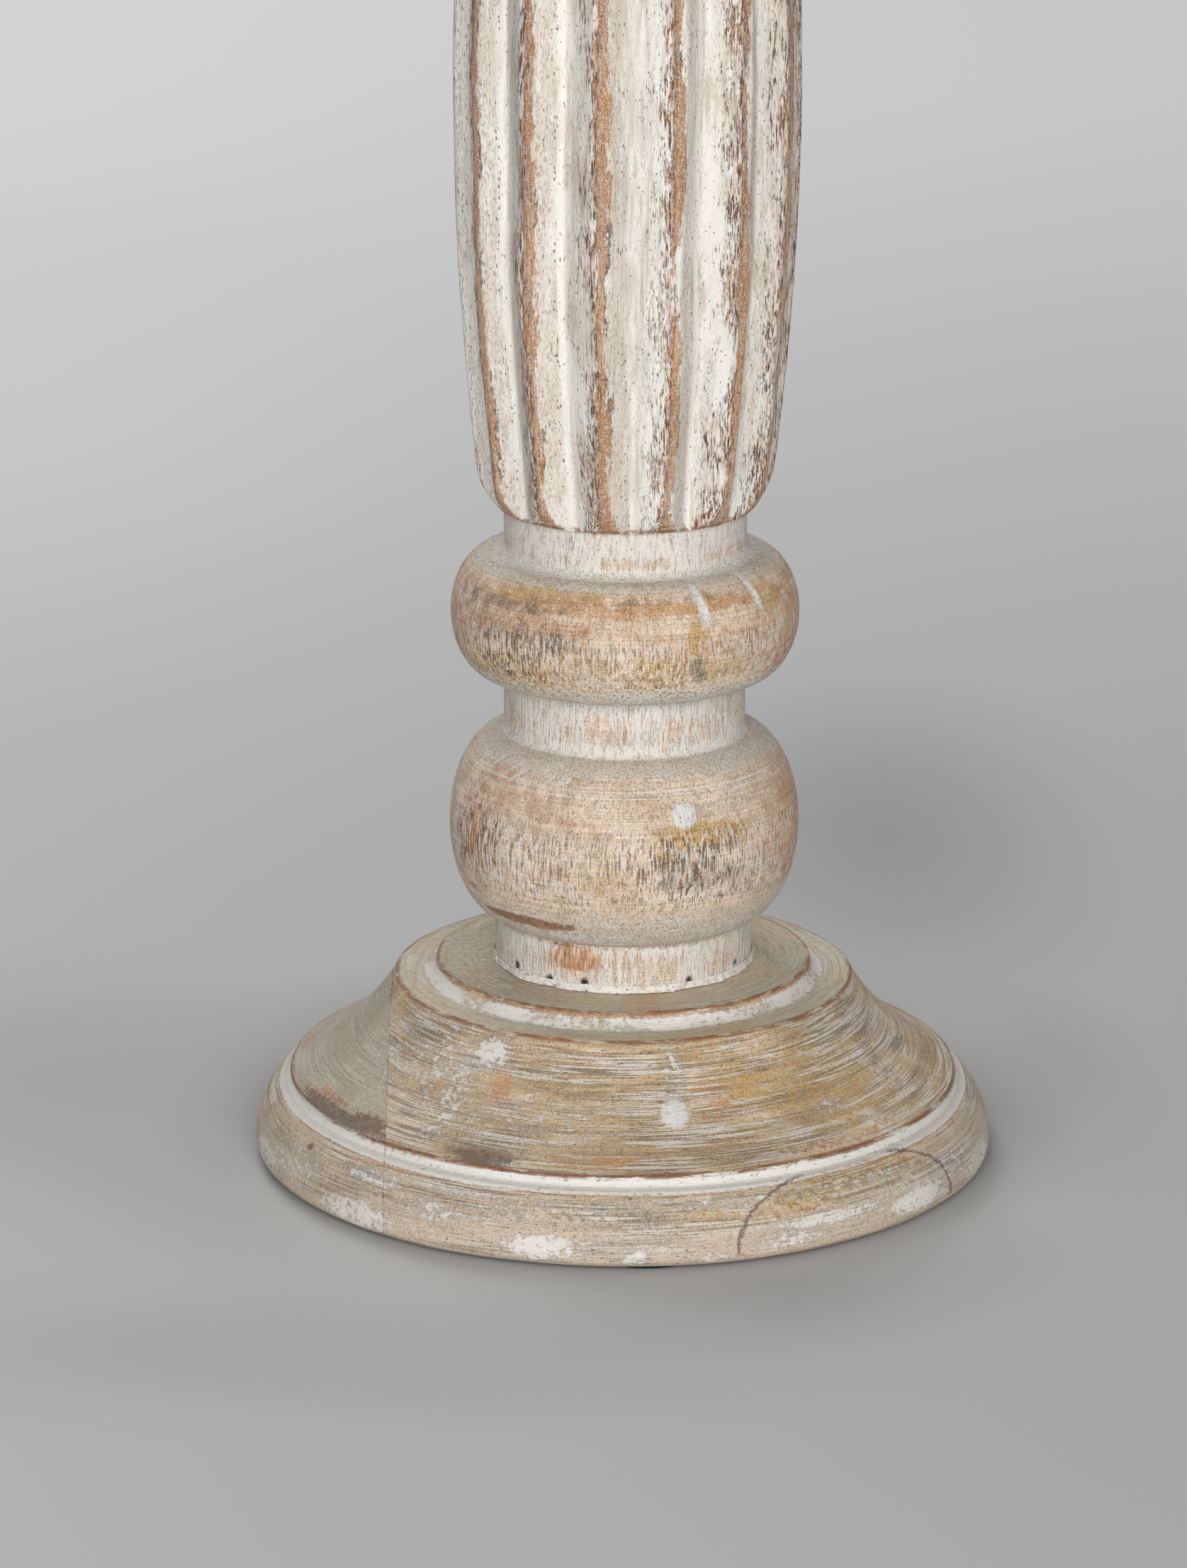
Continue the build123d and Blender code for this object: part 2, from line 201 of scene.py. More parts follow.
class FinishColours(bpy.types.PropertyGroup):
    """Colours of the limed wood, the paint, the filler and the iron."""

    paint: tint("Paint", "Thick white paint", 241, 238, 231)
    paint_thin: tint("Thin paint", "Paint that the wood shows through", 223, 211, 196)
    paint_cool: tint("Cool paint", "Greyish places in the paint", 218, 216, 208)
    wood: tint("Wood", "Bare sanded wood", 212, 176, 140)
    wood_light: tint("Light wood", "Pale limed wood", 228, 203, 177)
    wood_orange: tint("Orange wood", "Bare wood of a warmer tone", 204, 142, 88)
    wood_dark: tint("Dark grain", "Grain and pores", 112, 78, 58)
    crack: tint("Crack", "Deepest cracks and pores", 58, 46, 46)
    ochre: tint("Ochre", "Yellow heartwood", 202, 160, 84)
    smoke: tint("Smoke", "Grey stain", 122, 114, 96)
    # the haze is pale enough to serve also as painted light from below where it lies on undersides
    haze: tint("Haze", "Grey bloom where the grain is cut across", 220, 209, 192)
    filler: tint("Filler", "White joint filler", 236, 233, 227)
    edge: tint("Worn edge", "Line of bare wood on a worn edge", 158, 98, 56)
    base_wood: tint("Base wood", "Brown wood of the base", 189, 163, 124)
    base_grey: tint("Base grey", "Grey-green wash on the base", 184, 179, 160)


class StageSettings(bpy.types.PropertyGroup):
    """Camera, lamps and floor."""

    lens: number("Lens", "Focal length in millimetres", 150.0)
    camera_distance: length("Camera distance", "Distance in front of the axis", 1259.9)
    camera_height: length("Camera height", "Height over the floor", 454.6)
    camera_pitch: number("Pitch", "Degrees downwards", 16.688)
    camera_yaw: number("Yaw", "Degrees to the left", 0.281)
    camera_roll: number("Roll", "Degrees to the left", 0.2)
    key_power: number("Key power", "Soft front lamp, in watts", 20.3)
    key_rise: length("Key rise", "Height of the front lamp", 560)
    key_side: number(
        "Key side", "How far the front lamp stands to the right", 80 * MM, unit="LENGTH",
        subtype="DISTANCE",
    )
    key_size: length("Key size", "Side of the soft lamps", 1000)
    back_power: number("Back power", "Soft lamp behind, in watts", 13.0)
    floor_radius: length("Floor radius", "Radius of the pale floor", 4000)
    ambient: number("Ambient", "Light from all round", 0.17)


SETTINGS = {
    "candlestick_base": BaseSizes,
    "candlestick_baluster": BalusterSizes,
    "candlestick_shaft": ShaftSizes,
    "candlestick_top": TopSizes,
    "candlestick_iron": IronSizes,
    "candlestick_colours": FinishColours,
    "candlestick_stage": StageSettings,
}


# ---------------------------------------------------------------- outlines


class Outline:
    """Outline of a turned piece as (radius, height) points, drawn in one direction."""

    def __init__(self, radius, height):
        self.points = [(radius, height)]
        self.soft = {}

    def line(self, radius, height, soft=0.0):
        """Straight to a point, whose corner is worn round over the length soft."""
        self.points.append((radius, height))
        if soft:
            self.soft[len(self.points) - 1] = soft
        return self

    def lines(self, *points):
        """Straight from point to point, each (radius, height) or (radius, height, soft)."""
        for point in points:
            self.line(*point)
        return self

    def flare(self, radius, size):
        """Small cove in to the radius of a neck."""
        return self.bow(radius, self.points[-1][1] + size, QUARTER_BOW * size)

    def bow(self, radius, height, bulge, soft=0.0):
        """Arc to a point. It bulges to the left of its direction by the length bulge."""
        start = np.array(self.points[-1])
        end = np.array((radius, height))
        chord = end - start
        left = np.array((-chord[1], chord[0])) / np.linalg.norm(chord)
        half = np.linalg.norm(chord) / 2
        curve = (half**2 + bulge**2) / (2 * abs(bulge))
        reach = math.asin(min(half / curve, 1.0))
        steps = max(6, int(2 * reach * curve / ARC_STEP))
        side = math.copysign(1, bulge)
        centre = (start + end) / 2 - left * side * (curve - abs(bulge))
        for step in range(1, steps):
            turn = -reach + 2 * reach * step / steps
            along = chord / np.linalg.norm(chord) * math.sin(turn) * curve
            self.points.append(tuple(centre + along + left * side * math.cos(turn) * curve))
        return self.line(radius, height, soft)

    def oval(self, core, reach, foot, top, radius_below, radius_above):
        """Half oval from foot to top, cut off where it meets the necks."""
        below = math.acos(max(radius_below - core, 0) / reach)
        above = math.acos(max(radius_above - core, 0) / reach)
        for turn in np.linspace(-below, above, OVAL_STEPS):
            self.points.append(
                (
                    core + reach * math.cos(turn),
                    (foot + top) / 2 + (top - foot) / 2 * math.sin(turn),
                )
            )
        return self

    def spaced(self, spacing):
        """The outline's points about one spacing apart, with its soft corners rounded."""
        raw = np.array(self.points)
        steps = np.hypot(*np.diff(raw, axis=0).T)
        moved = np.r_[True, steps > 1e-9]
        raw, kept = raw[moved], np.flatnonzero(moved)
        along = np.r_[0, np.cumsum(steps[moved[1:]])]

        def at(distance):
            return np.array([np.interp(distance, along, raw[:, axis]) for axis in (0, 1)]).T

        turns = np.diff(np.unwrap(np.arctan2(*np.diff(raw, axis=0).T)))
        corners = {0: 0.0, len(raw) - 1: 0.0}
        for index, turn in enumerate(turns, start=1):
            soft = self.soft.get(int(kept[index]), 0.0)
            if soft or abs(turn) > SHARP_TURN:
                corners[index] = soft
        result = []
        ordered = sorted(corners)
        for here, following in zip(ordered, ordered[1:]):
            start = along[here] + corners[here]
            end = along[following] - corners[following]
            count = max(1, round((end - start) / spacing))
            result.extend(at(np.linspace(start, end, count + 1)))
            if corners[following]:
                before, after = at(end), at(along[following] + corners[following])
                for part in (0.25, 0.5, 0.75):
                    result.append(
                        (1 - part) ** 2 * before
                        + 2 * part * (1 - part) * at(along[following])
                        + part**2 * after
                    )
        tidy = [result[0]]
        for point in result[1:]:
            if np.hypot(*(point - tidy[-1])) > SAME_PLACE:
                tidy.append(point)
        return [(max(float(radius), 0.0), float(height)) for radius, height in tidy]


def scored(points, depth, seed):
    """The outline with fine lines of uneven depth, as the chisel leaves them."""
    draw = np.random.default_rng(seed)
    raw = np.array(points)
    run = np.gradient(raw, axis=0)
    inward = np.array((-run[:, 1], run[:, 0])).T / np.linalg.norm(run, axis=1)[:, None]
    on_side = (np.abs(run[:, 1]) > 0.3 * np.linalg.norm(run, axis=1)) & (raw[:, 0] > 20 * MM)
    sink = depth * draw.uniform(0, 1, len(raw)) ** 1.5 * on_side
    return [tuple(point) for point in raw + inward * sink[:, None]]


# ---------------------------------------------------------------- modelling


def select_only(piece=None):
    if bpy.context.mode != "OBJECT":
        bpy.ops.object.mode_set(mode="OBJECT")
    bpy.ops.object.select_all(action="DESELECT")
    if piece:
        piece.select_set(True)
        bpy.context.view_layer.objects.active = piece


def edit_all():
    """Go into edit mode with all of the active piece selected."""
    bpy.ops.object.mode_set(mode="EDIT")
    bpy.ops.mesh.select_all(action="SELECT")


def copy_piece(piece):
    select_only(piece)
    bpy.ops.object.duplicate()
    return bpy.context.object


def turn_piece(name, points, steps):
    """Turn an outline of (radius, height) points round the axis, as on a lathe."""
    select_only()
    bpy.ops.mesh.primitive_plane_add(size=MM, location=(0, 0, 0))
    piece = bpy.context.object
    piece.name = name
    edit_all()
    bpy.ops.mesh.merge(type="CENTER")
    bpy.ops.transform.translate(value=(points[0][0], 0, points[0][1]))
    for here, following in zip(points, points[1:]):
        step = (following[0] - here[0], 0, following[1] - here[1])
        bpy.ops.mesh.extrude_vertices_move(TRANSFORM_OT_translate={"value": step})
    bpy.ops.object.mode_set(mode="OBJECT")
    use_modifier(
        piece, "SCREW", axis="Z", angle=FULL_TURN, steps=steps, render_steps=steps,
        use_merge_vertices=True, merge_threshold=SAME_PLACE,
    )
    edit_all()
    bpy.ops.mesh.remove_doubles(threshold=SAME_PLACE)
    bpy.ops.mesh.normals_make_consistent(inside=False)
    bpy.ops.object.mode_set(mode="OBJECT")
    return piece


def use_modifier(piece, kind, **settings):
    """Add a modifier, set it and apply it."""
    select_only(piece)
    modifier = piece.modifiers.new(kind.title(), kind)
    for key, value in settings.items():
        setattr(modifier, key, value)
    bpy.ops.object.modifier_apply(modifier=modifier.name)


def wear_unevenly(piece, *wear):
    """Sink the surface here and there, once for each (size of the lumps, depth)."""
    for size, depth in wear:
        lumps = bpy.data.textures.new(piece.name + "_lumps", "CLOUDS")
        lumps.noise_scale = size
        lumps.noise_depth = 2
        use_modifier(
            piece, "DISPLACE", texture=lumps, texture_coords="LOCAL", strength=depth, mid_level=1.0
        )


def mould(piece, weights, height):
    """Raise the weighted part of the surface by height, or sink it if height is negative."""
    group = piece.vertex_groups.new(name="moulded")
    for index in np.flatnonzero(weights > 0.002):
        group.add([int(index)], float(min(weights[index], 1.0)), "REPLACE")
    use_modifier(piece, "DISPLACE", vertex_group="moulded", strength=height, mid_level=0.0)
    piece.vertex_groups.remove(piece.vertex_groups["moulded"])


class Surface:
    """Where each vertex of a turned piece lies: angle, radius and height."""

    def __init__(self, piece):
        self.piece = piece
        flat = np.empty(len(piece.data.vertices) * 3)
        piece.data.vertices.foreach_get("co", flat)
        self.points = flat.reshape(-1, 3)
        x, y, self.height = self.points.T
        self.radius = np.hypot(x, y)
        self.angle = np.degrees(np.arctan2(x, -y))

    def move(self, radius):
        """Put every vertex at a new radius, at its own angle and height."""
        scale = radius / np.maximum(self.radius, 1e-9)
        self.points[:, :2] *= scale[:, None]
        self.radius = radius
        self.piece.data.vertices.foreach_set("co", self.points.ravel())
        self.piece.data.update()

    def away(self, angle):
        """Degrees from an angle, from -180 to 180."""
        return (self.angle - angle + 180) % 360 - 180

    def patch(self, angle, height, half_width, half_height, soft=0.6):
        """1 inside a soft oval patch round an angle and a height in mm, and 0 outside it."""
        across = np.radians(self.away(angle)) * self.radius / (half_width * MM)
        up = (self.height - height * MM) / (half_height * MM)
        return ease(np.hypot(across, up), 1 + soft / 2, 1 - soft / 2)

    def patches(self, rows, soft=1.2):
        """Many patches in one, as rows of patch's first four values, strength, own softness."""
        return strongest(*(
            strength * self.patch(angle, height, wide, tall, *own or (soft,))
            for angle, height, wide, tall, strength, *own in rows
        ))

    def band(self, height, outer, inner):
        """1 within inner mm of a height, and 0 beyond outer mm of it."""
        return ease(np.abs(self.height - height), outer * MM, inner * MM)

    def ring(self, radius, height, outer, inner):
        """1 within inner mm of the edge at a radius and a height, and 0 beyond outer mm."""
        off = np.hypot(self.radius - radius, self.height - height)
        return ease(off, outer * MM, inner * MM)

    def neck(self, foot, top):
        """1 on the neck between two heights, and how far up it each vertex lies, from 0 to 1."""
        inside = ease(self.height, foot - 0.6 * MM, foot + 0.2 * MM)
        inside *= ease(self.height, top + 0.2 * MM, top - 0.2 * MM)
        return inside, np.clip((self.height - foot) / (top - foot), 0, 1)

    def ripple(self, size, seed):
        """Smooth random waves from about -1 to 1, each size (x, y, z) in mm long."""
        draw = np.random.default_rng(seed)
        waves = draw.normal(size=(3, 24)) / (np.array(size)[:, None] * MM)
        phases = draw.uniform(0, FULL_TURN, 24)
        return np.cos(self.points @ waves * 2 + phases).sum(axis=1) / 4.5

    def record(self, **marks):
        """Keep values for each vertex under their names, for the finish to read."""
        for name, values in marks.items():
            self.keep(name, "POINT", values)

    def keep(self, name, domain, values):
        layer = self.piece.data.attributes.new(name, "FLOAT", domain)
        layer.data.foreach_set("value", np.ascontiguousarray(values, dtype=np.float32))

    def record_turning(self, name, values, span):
        """Keep a value that starts again every span, so that no face holds both ends of it."""
        mesh = self.piece.data
        corners = np.empty(len(mesh.loops), dtype=np.int32)
        sides = np.empty(len(mesh.polygons), dtype=np.int32)
        mesh.loops.foreach_get("vertex_index", corners)
        mesh.polygons.foreach_get("loop_total", sides)
        face = np.repeat(np.arange(len(sides)), sides)
        value, step = values[corners], span[corners]
        highest = np.full(len(sides), -np.inf)
        np.maximum.at(highest, face, value)
        value = np.where(highest[face] - value > step / 2, value + step, value)
        self.keep(name, "CORNER", value)


def ease(values, low, high):
    """0 at low and 1 at high, with soft ends."""
    part = np.clip((values - low) / (high - low), 0, 1)
    return part * part * (3 - 2 * part)


def strongest(*masks):
    """The highest value of several masks at each vertex."""
    return reduce(np.maximum, masks)


def paint_piece(piece, material):
    piece.data.materials.clear()
    piece.data.materials.append(material)


def fit_piece(piece, slot, node, angle=35):
    """Smooth a piece, give it its slot's finish and hang it on the body in place of its node."""
    select_only(piece)
    bpy.ops.object.shade_smooth_by_angle(angle=math.radians(angle))
    paint_piece(piece, FINISHES[slot])
    select_only()
    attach(piece, "root")
    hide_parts(node)


# ---------------------------------------------------------------- finishes


class Value:
    """A value that changes over the surface: a node's output that can be used in a sum."""

    def __init__(self, finish, socket):
        self.finish, self.socket = finish, socket

    def __add__(self, other):
        return self.finish.calc("ADD", self, other)

    def __sub__(self, other):
        return self.finish.calc("SUBTRACT", self, other)

    def __rsub__(self, other):
        return self.finish.calc("SUBTRACT", other, self)

    def __mul__(self, other):
        return self.finish.calc("MULTIPLY", self, other)

    def __abs__(self):
        return self.finish.calc("ABSOLUTE", self)

    __radd__, __rmul__ = __add__, __mul__


class Finish:
    """One finish as a tree of nodes. Each method adds a node and gives its output."""

    def __init__(self, name, roughness=0.6):
        self.material = FINISHES[name] = bpy.data.materials.new(name)
        self.material.use_nodes = True
        self.tree = self.material.node_tree
        self.shader = self.tree.nodes["Principled BSDF"]
        self.shader.inputs["Roughness"].default_value = roughness
        self.spot = self.vector(
            "MULTIPLY", self.add("TexCoord", output="Object"), (1 / MM, 1 / MM, 1 / MM)
        )
        self.normal = None
        apart = self.tree.nodes.new("ShaderNodeSeparateXYZ")
        self.link(apart.inputs[0], self.spot)
        self.x, self.y, self.z = (Value(self, socket) for socket in apart.outputs)

    def link(self, socket, value):
        if isinstance(value, Value):
            value = value.socket
        if isinstance(value, bpy.types.NodeSocket):
            self.tree.links.new(value, socket)
        elif socket.type == "RGBA" and len(value) == 3:
            socket.default_value = (*value, 1)
        else:
            socket.default_value = value

    def add(self, kind, inputs=None, output=0, **settings):
        node = self.tree.nodes.new("ShaderNode" + kind)
        for key, value in settings.items():
            setattr(node, key, value)
        for key, value in (inputs or {}).items():
            self.link(node.inputs[key], value)
        return Value(self, node.outputs[output])

    def vector(self, operation, first, second):
        return self.add("VectorMath", {0: first, 1: second}, operation=operation)

    def calc(self, operation, first, second=0.0):
        return self.add("Math", {0: first, 1: second}, operation=operation)

    def either(self, first, second):
        return self.calc("MAXIMUM", first, second)

    def distance(self, across, up):
        """Length of the line that runs so far across and so far up."""
        return self.calc("SQRT", across * across + up * up)

    def ease(self, value, low, high, start=0.0, end=1.0):
        """start where value is low, end where it is high, with soft ends."""
        return self.add(
            "MapRange", {0: value, 1: low, 2: high, 3: start, 4: end},
            interpolation_type="SMOOTHSTEP",
        )

    def kept(self, name):
        """A value that was recorded on the piece's vertices."""
        return self.add("Attribute", output="Fac", attribute_name=name)

    def scaled(self, size, shift=0.0, at=None):
        """Place divided by a size (x, y, z) in millimetres and shifted."""
        at = at or self.spot
        small = self.vector("MULTIPLY", at, tuple(1 / part for part in size))
        return self.vector("ADD", small, (shift, shift * 1.7, shift * 0.6)) if shift else small

    def noise(self, size, detail=3.0, rough=0.55, shift=0.0, at=None):
        """Cloudy noise from 0 to 1 whose lumps are about size (x, y, z) in millimetres."""
        return self.add(
            "TexNoise",
            {
                "Vector": self.scaled(size, shift, at), "Scale": 1.0, "Detail": detail,
                "Roughness": rough,
            },
        )

    def grains(self, size, reach, share, shift=0.0):
        """1 on separate grains about size (x, y, z) apart. share is the part of them kept."""
        node = self.tree.nodes.new("ShaderNodeTexVoronoi")
        self.link(node.inputs["Vector"], self.scaled(size, shift))
        node.inputs["Scale"].default_value = 1.0
        near = self.ease(node.outputs["Distance"], reach, reach * 0.55)
        pick = self.add("SeparateColor", {0: node.outputs["Color"]})
        return near * self.ease(pick + share, 1.0, 1.12)

    def veins(self, size, width, shift=0.0):
        """1 along thin winding lines in meshes about size (x, y, z) in millimetres."""
        off = abs(self.noise(size, detail=2.0, rough=0.5, shift=shift) - 0.5)
        return self.ease(off, width, width * 0.35)

    def ragged(self, mask, edge, reach=3.0):
        """A soft mask whose border is broken up by a noise."""
        return self.ease(mask + (edge - 0.5) * reach, 0.38, 0.62)

    def toned(self, colour, value, low, high):
        """A colour made darker, times low, or lighter, times high, by a noise."""
        return self.add(
            "HueSaturation", {"Value": self.ease(value, 0.34, 0.66, low, high), "Color": colour}
        )

    def mix(self, first, second, by):
        return self.add("Mix", {0: by, 6: first, 7: second}, output=2, data_type="RGBA")

    def coats(self, colour, *coats):
        """A colour under one coat after another, each (colour, how far it covers)."""
        for coat, cover in coats:
            colour = self.mix(colour, coat, cover)
        return colour

    def ramp(self, value, *stops):
        """Colour by value, from (place, colour) stops."""
        node = self.tree.nodes.new("ShaderNodeValToRGB")
        self.link(node.inputs[0], value)
        elements = node.color_ramp.elements
        for index, (place, colour) in enumerate(stops):
            element = elements[index] if index < 2 else elements.new(place)
            element.position = place
            element.color = (*colour, 1)
        return node.outputs[0]

    def bump(self, height, depth):
        """Raise the shading where height is 1, by a depth in metres."""
        inputs = {"Height": height, "Distance": depth, "Strength": 1.0}
        if self.normal:
            inputs["Normal"] = self.normal
        self.normal = self.add("Bump", inputs)

    def done(self, colour, roughness=None):
        self.link(self.shader.inputs["Base Color"], colour)
        if roughness:
            self.link(self.shader.inputs["Roughness"], roughness)
        if self.normal:
            self.link(self.shader.inputs["Normal"], self.normal)
        return self.material

    def on_lathe(self):
        """Place as (radius, arc in degrees, height), for marks that run round the axis."""
        radius = self.distance(self.x, self.y)
        arc = self.calc("ARCTAN2", self.x, self.y * -1.0) * (180 / math.pi)
        return radius, arc, self.add("CombineXYZ", {0: radius, 1: arc, 2: self.z})


SCORED_LEVELS = 83.4, 84.5  # of two rings on the ball's shoulder, in mm
WASH_FOOT = 15.2, 16.6  # heights over which the grey wash of the edge block sets in, in mm
FILLET_FACE = (15.4, 15.9), (17.8, 17.2)  # lower and upper end of the fillet's upright face


def shade(colour, factor):
    return tuple(min(part * factor, 1.0) for part in colour)


def fluted_paint(c):
    """Chipped white paint over wood, rubbed off along the crests of the flutes."""
    f = Finish("worn_white_paint", roughness=0.62)
    across, end_gap = f.kept("across"), f.kept("end_gap")
    cloud = f.noise((6, 6, 16), detail=3, shift=7)
    streak = f.noise((0.9, 0.9, 10), detail=5, rough=0.62)
    dash = f.noise((0.23, 0.23, 1.1), detail=3, rough=0.6, shift=3)
    clumps = f.noise((3, 3, 9), detail=3, shift=11)
    tone = streak * 0.5 + cloud * 0.5
    paint = f.ramp(
        tone, (0.4, shade(c.paint_thin, 0.84)), (0.48, shade(c.paint_thin, 1.08)), (0.55, c.paint),
        (0.62, c.paint), (0.7, c.paint_cool),
    )
    # right of a crest little paint is left, then comes a bright strip in the flute's bottom: pooled
    # paint, whitened past the paint's own colour as a painted highlight
    wander = (clumps - 0.5) * 3.0
    place = across + wander
    thin = f.ease(place, 1.0, 1.9) * f.ease(place, 4.7, 3.6)
    paint = f.mix(paint, c.paint_thin, thin * f.ease(streak, 0.62, 0.4, 0.35, 0.95))
    cool = f.ease(place, -7.4, -6.2) * f.ease(place, -3.0, -4.8)
    paint = f.mix(paint, c.paint_cool, cool * f.ease(cloud, 0.42, 0.6, 0.1, 0.8))
    strip = f.ease(across, 4.9, 5.4) * f.ease(across, 6.6, 6.1)
    paint = f.mix(paint, shade(c.paint, 1.08), strip * f.ease(clumps, 0.4, 0.55, 0.55, 0.95))
    # painted shade: a grey line beside the strip, and another before it, in the flute's bottom
    beside = f.ease(across, 6.5, 6.8) * f.ease(across, 7.5, 7.1)
    before = f.ease(across, 3.9, 4.3) * f.ease(across, 4.95, 4.7)
    groove_shade = f.either(beside, before * 0.6)
    paint = f.mix(paint, shade(c.paint_thin, 0.8), groove_shade * f.ease(streak, 0.6, 0.42, 0.2, 0.5))
    clean = f.ease(f.noise((6, 6, 20), detail=2, shift=61), 0.53, 0.63)
    paint = f.coats(
        paint,
        (c.paint, clean * f.ease(thin, 0.0, 1.0, 0.8, 0.4)),
        (shade(c.paint, 1.1), f.kept("clean") * f.ease(streak, 0.35, 0.6, 0.3, 1.0)),
    )
    dull = f.kept("dull") * f.ease(dash * 0.5 + streak * 0.5, 0.42, 0.56, 1.0, 0.1)
    paint = f.mix(paint, shade(c.paint_thin, 0.84), dull)
    tanned = f.kept("tanned") * f.ease(cloud, 0.4, 0.55, 0.5, 1.0)
    paint = f.mix(
        paint, f.mix(c.wood, c.paint_thin, 0.3), tanned * f.ease(streak, 0.4, 0.56, 1.0, 0.45)
    )
    # fine upright dirt: dashes in the thin paint, specks and dots elsewhere
    dirt = f.ease(dash + thin * 0.03, 0.55, 0.63)
    dirt = dirt * f.ease(clumps + thin * 0.1, 0.4, 0.58, 0.45, 1.0)
    dirt = dirt * (1.0 - f.either(strip, clean) * 0.55)
    paint = f.mix(paint, shade(c.paint_thin, 0.62), dirt)
    light = f.ease(dash, 0.46, 0.38)
    paint = f.mix(paint, shade(c.paint, 1.03), light * 0.3)
    left = f.ease(place, -7.0, -4.0) * f.ease(place, 0.5, -0.8)
    pores = f.grains((0.4, 0.4, 1.8), 0.34, f.ease(left, 0.0, 1.0, 0.12, 0.5))
    pores = pores * f.ease(clumps, 0.43, 0.55)
    row = f.ease(abs(across - 4.7), 0.55, 0.2)
    specks = f.either(
        f.grains((0.8, 0.8, 1.0), 0.2, 0.28, shift=5),
        row * f.grains((0.6, 0.6, 1.3), 0.3, 0.45, shift=73),
    )
    paint = f.mix(paint, shade(c.wood_dark, 0.9), f.either(pores, specks) * 0.8)

    # bare wood on the crests: a straight right edge and a ragged left one
    fan = f.ease(end_gap, 7.0, 0.0, 0.0, 1.5)
    patchy = f.noise((3.2, 3.2, 14), detail=3, shift=19)
    frayed = f.noise((0.5, 0.5, 4.5), detail=4, rough=0.7, shift=23)
    rag = f.ease(patchy, 0.36, 0.6) * (f.ease(frayed, 0.3, 0.7) * 5.8)
    inside = across + (rag + (fan + 0.5))
    wobble = (f.noise((0.8, 0.8, 3), detail=5, rough=0.7, shift=29) - 0.5) * 4.4
    narrow = f.ease(f.noise((5, 5, 13), detail=2, shift=71), 0.36, 0.6, 0.4, 1.4)
    narrow = narrow + f.kept("broad")
    beyond = narrow + fan + wobble - across
    bare = f.ease(inside, -0.2, 0.2) * f.ease(beyond, -0.2, 0.2)
    bare = bare * f.ease(abs(across), 6.2, 5.4)
    grain = f.noise((0.5, 0.5, 8), detail=5, rough=0.66, shift=31)
    wood = f.ramp(
        grain, (0.34, shade(c.wood_dark, 1.1)), (0.4, shade(c.wood_orange, 0.9)),
        (0.47, shade(c.wood_orange, 1.1)), (0.54, shade(c.wood, 1.1)),
        (0.66, shade(c.wood_light, 1.05)),
    )
    pale = f.noise((5, 5, 16), shift=37)
    wood = f.coats(
        wood,
        (shade(c.wood_orange, 1.06), f.ease(pale, 0.46, 0.62, 0.0, 0.75)),
        (f.mix(c.wood_orange, c.wood_light, 0.4), f.ease(pale, 0.5, 0.38, 0.0, 0.45)),
        (shade(c.wood_dark, 0.95), f.veins((0.55, 0.55, 5), 0.018) * 0.75),
    )
    cross = f.veins((1.3, 1.3, 0.7), 0.016, shift=75)
    wood = f.mix(wood, shade(c.wood_dark, 1.3), cross * 0.5)
    aged = f.kept("aged")
    tired = f.ease(grain + (aged - 0.6) * 0.14, 0.44, 0.53)
    wood = f.coats(
        wood,
        (f.mix(shade(c.edge, 0.8), c.wood_dark, f.ease(clumps, 0.4, 0.6)), tired * (aged * 0.3)),
        (c.paint, f.veins((1.1, 1.1, 0.55), 0.022, shift=43) * 0.75),
        (c.paint, f.veins((0.7, 0.7, 2.4), 0.02, shift=45) * 0.7),
    )
    # dark flecks and white islands along the ragged edge
    outer = f.ease(across, 0.1, -1.3)
    flecks = f.noise((0.38, 0.38, 2.8), detail=4, rough=0.68, shift=51)
    wood = f.mix(wood, shade(c.wood_dark, 0.8), outer * f.ease(flecks, 0.47, 0.53, 0.0, 0.9))
    islands = f.ease(f.noise((0.4, 0.4, 2.6), detail=3, shift=41), 0.47, 0.55)
    bare = bare * (1.0 - f.ease(across, -0.6, -1.9) * islands)
    colour = f.mix(paint, wood, bare)
    fringe = f.ease(inside, -3.4, -0.2) * f.ease(inside, 1.6, 0.3)
    fringe = fringe * f.ease(across, -7.0, -5.2)
    fringe = fringe * (f.ease(flecks, 0.5, 0.54) * f.ease(clumps, 0.38, 0.5))
    soot = f.mix(shade(c.wood_dark, 0.85), c.crack, f.ease(dash, 0.4, 0.6))
    colour = f.mix(colour, soot, fringe * f.ease(f.kept("clean"), 0.0, 1.0, 0.95, 0.3))
    # a crack here and there down the right edge of a crest
    split = f.ease(abs(beyond), 0.3, 0.1)
    split = split * f.ease(f.noise((4, 4, 20), detail=2, shift=53), 0.5, 0.56)
    colour = f.mix(colour, c.crack, split * f.ease(across, 2.6, 1.8, 0.0, 0.8))
    # brown line where the rounded ends stop
    rim = f.ease(end_gap, 1.3, 0.5) * f.ease(f.noise((1.5, 1.5, 1.5), shift=47), 0.38, 0.55)
    colour = f.mix(colour, shade(c.edge, 0.8), rim * 0.75)

    f.bump(streak, 0.3 * MM)
    f.bump(1.0 - (f.either(pores, specks) + bare * 0.6), 0.3 * MM)
    f.bump((dash + flecks) * (0.4 + bare), 0.26 * MM)
    return f.done(colour, f.ease(bare, 0.0, 1.0, 0.64, 0.52))


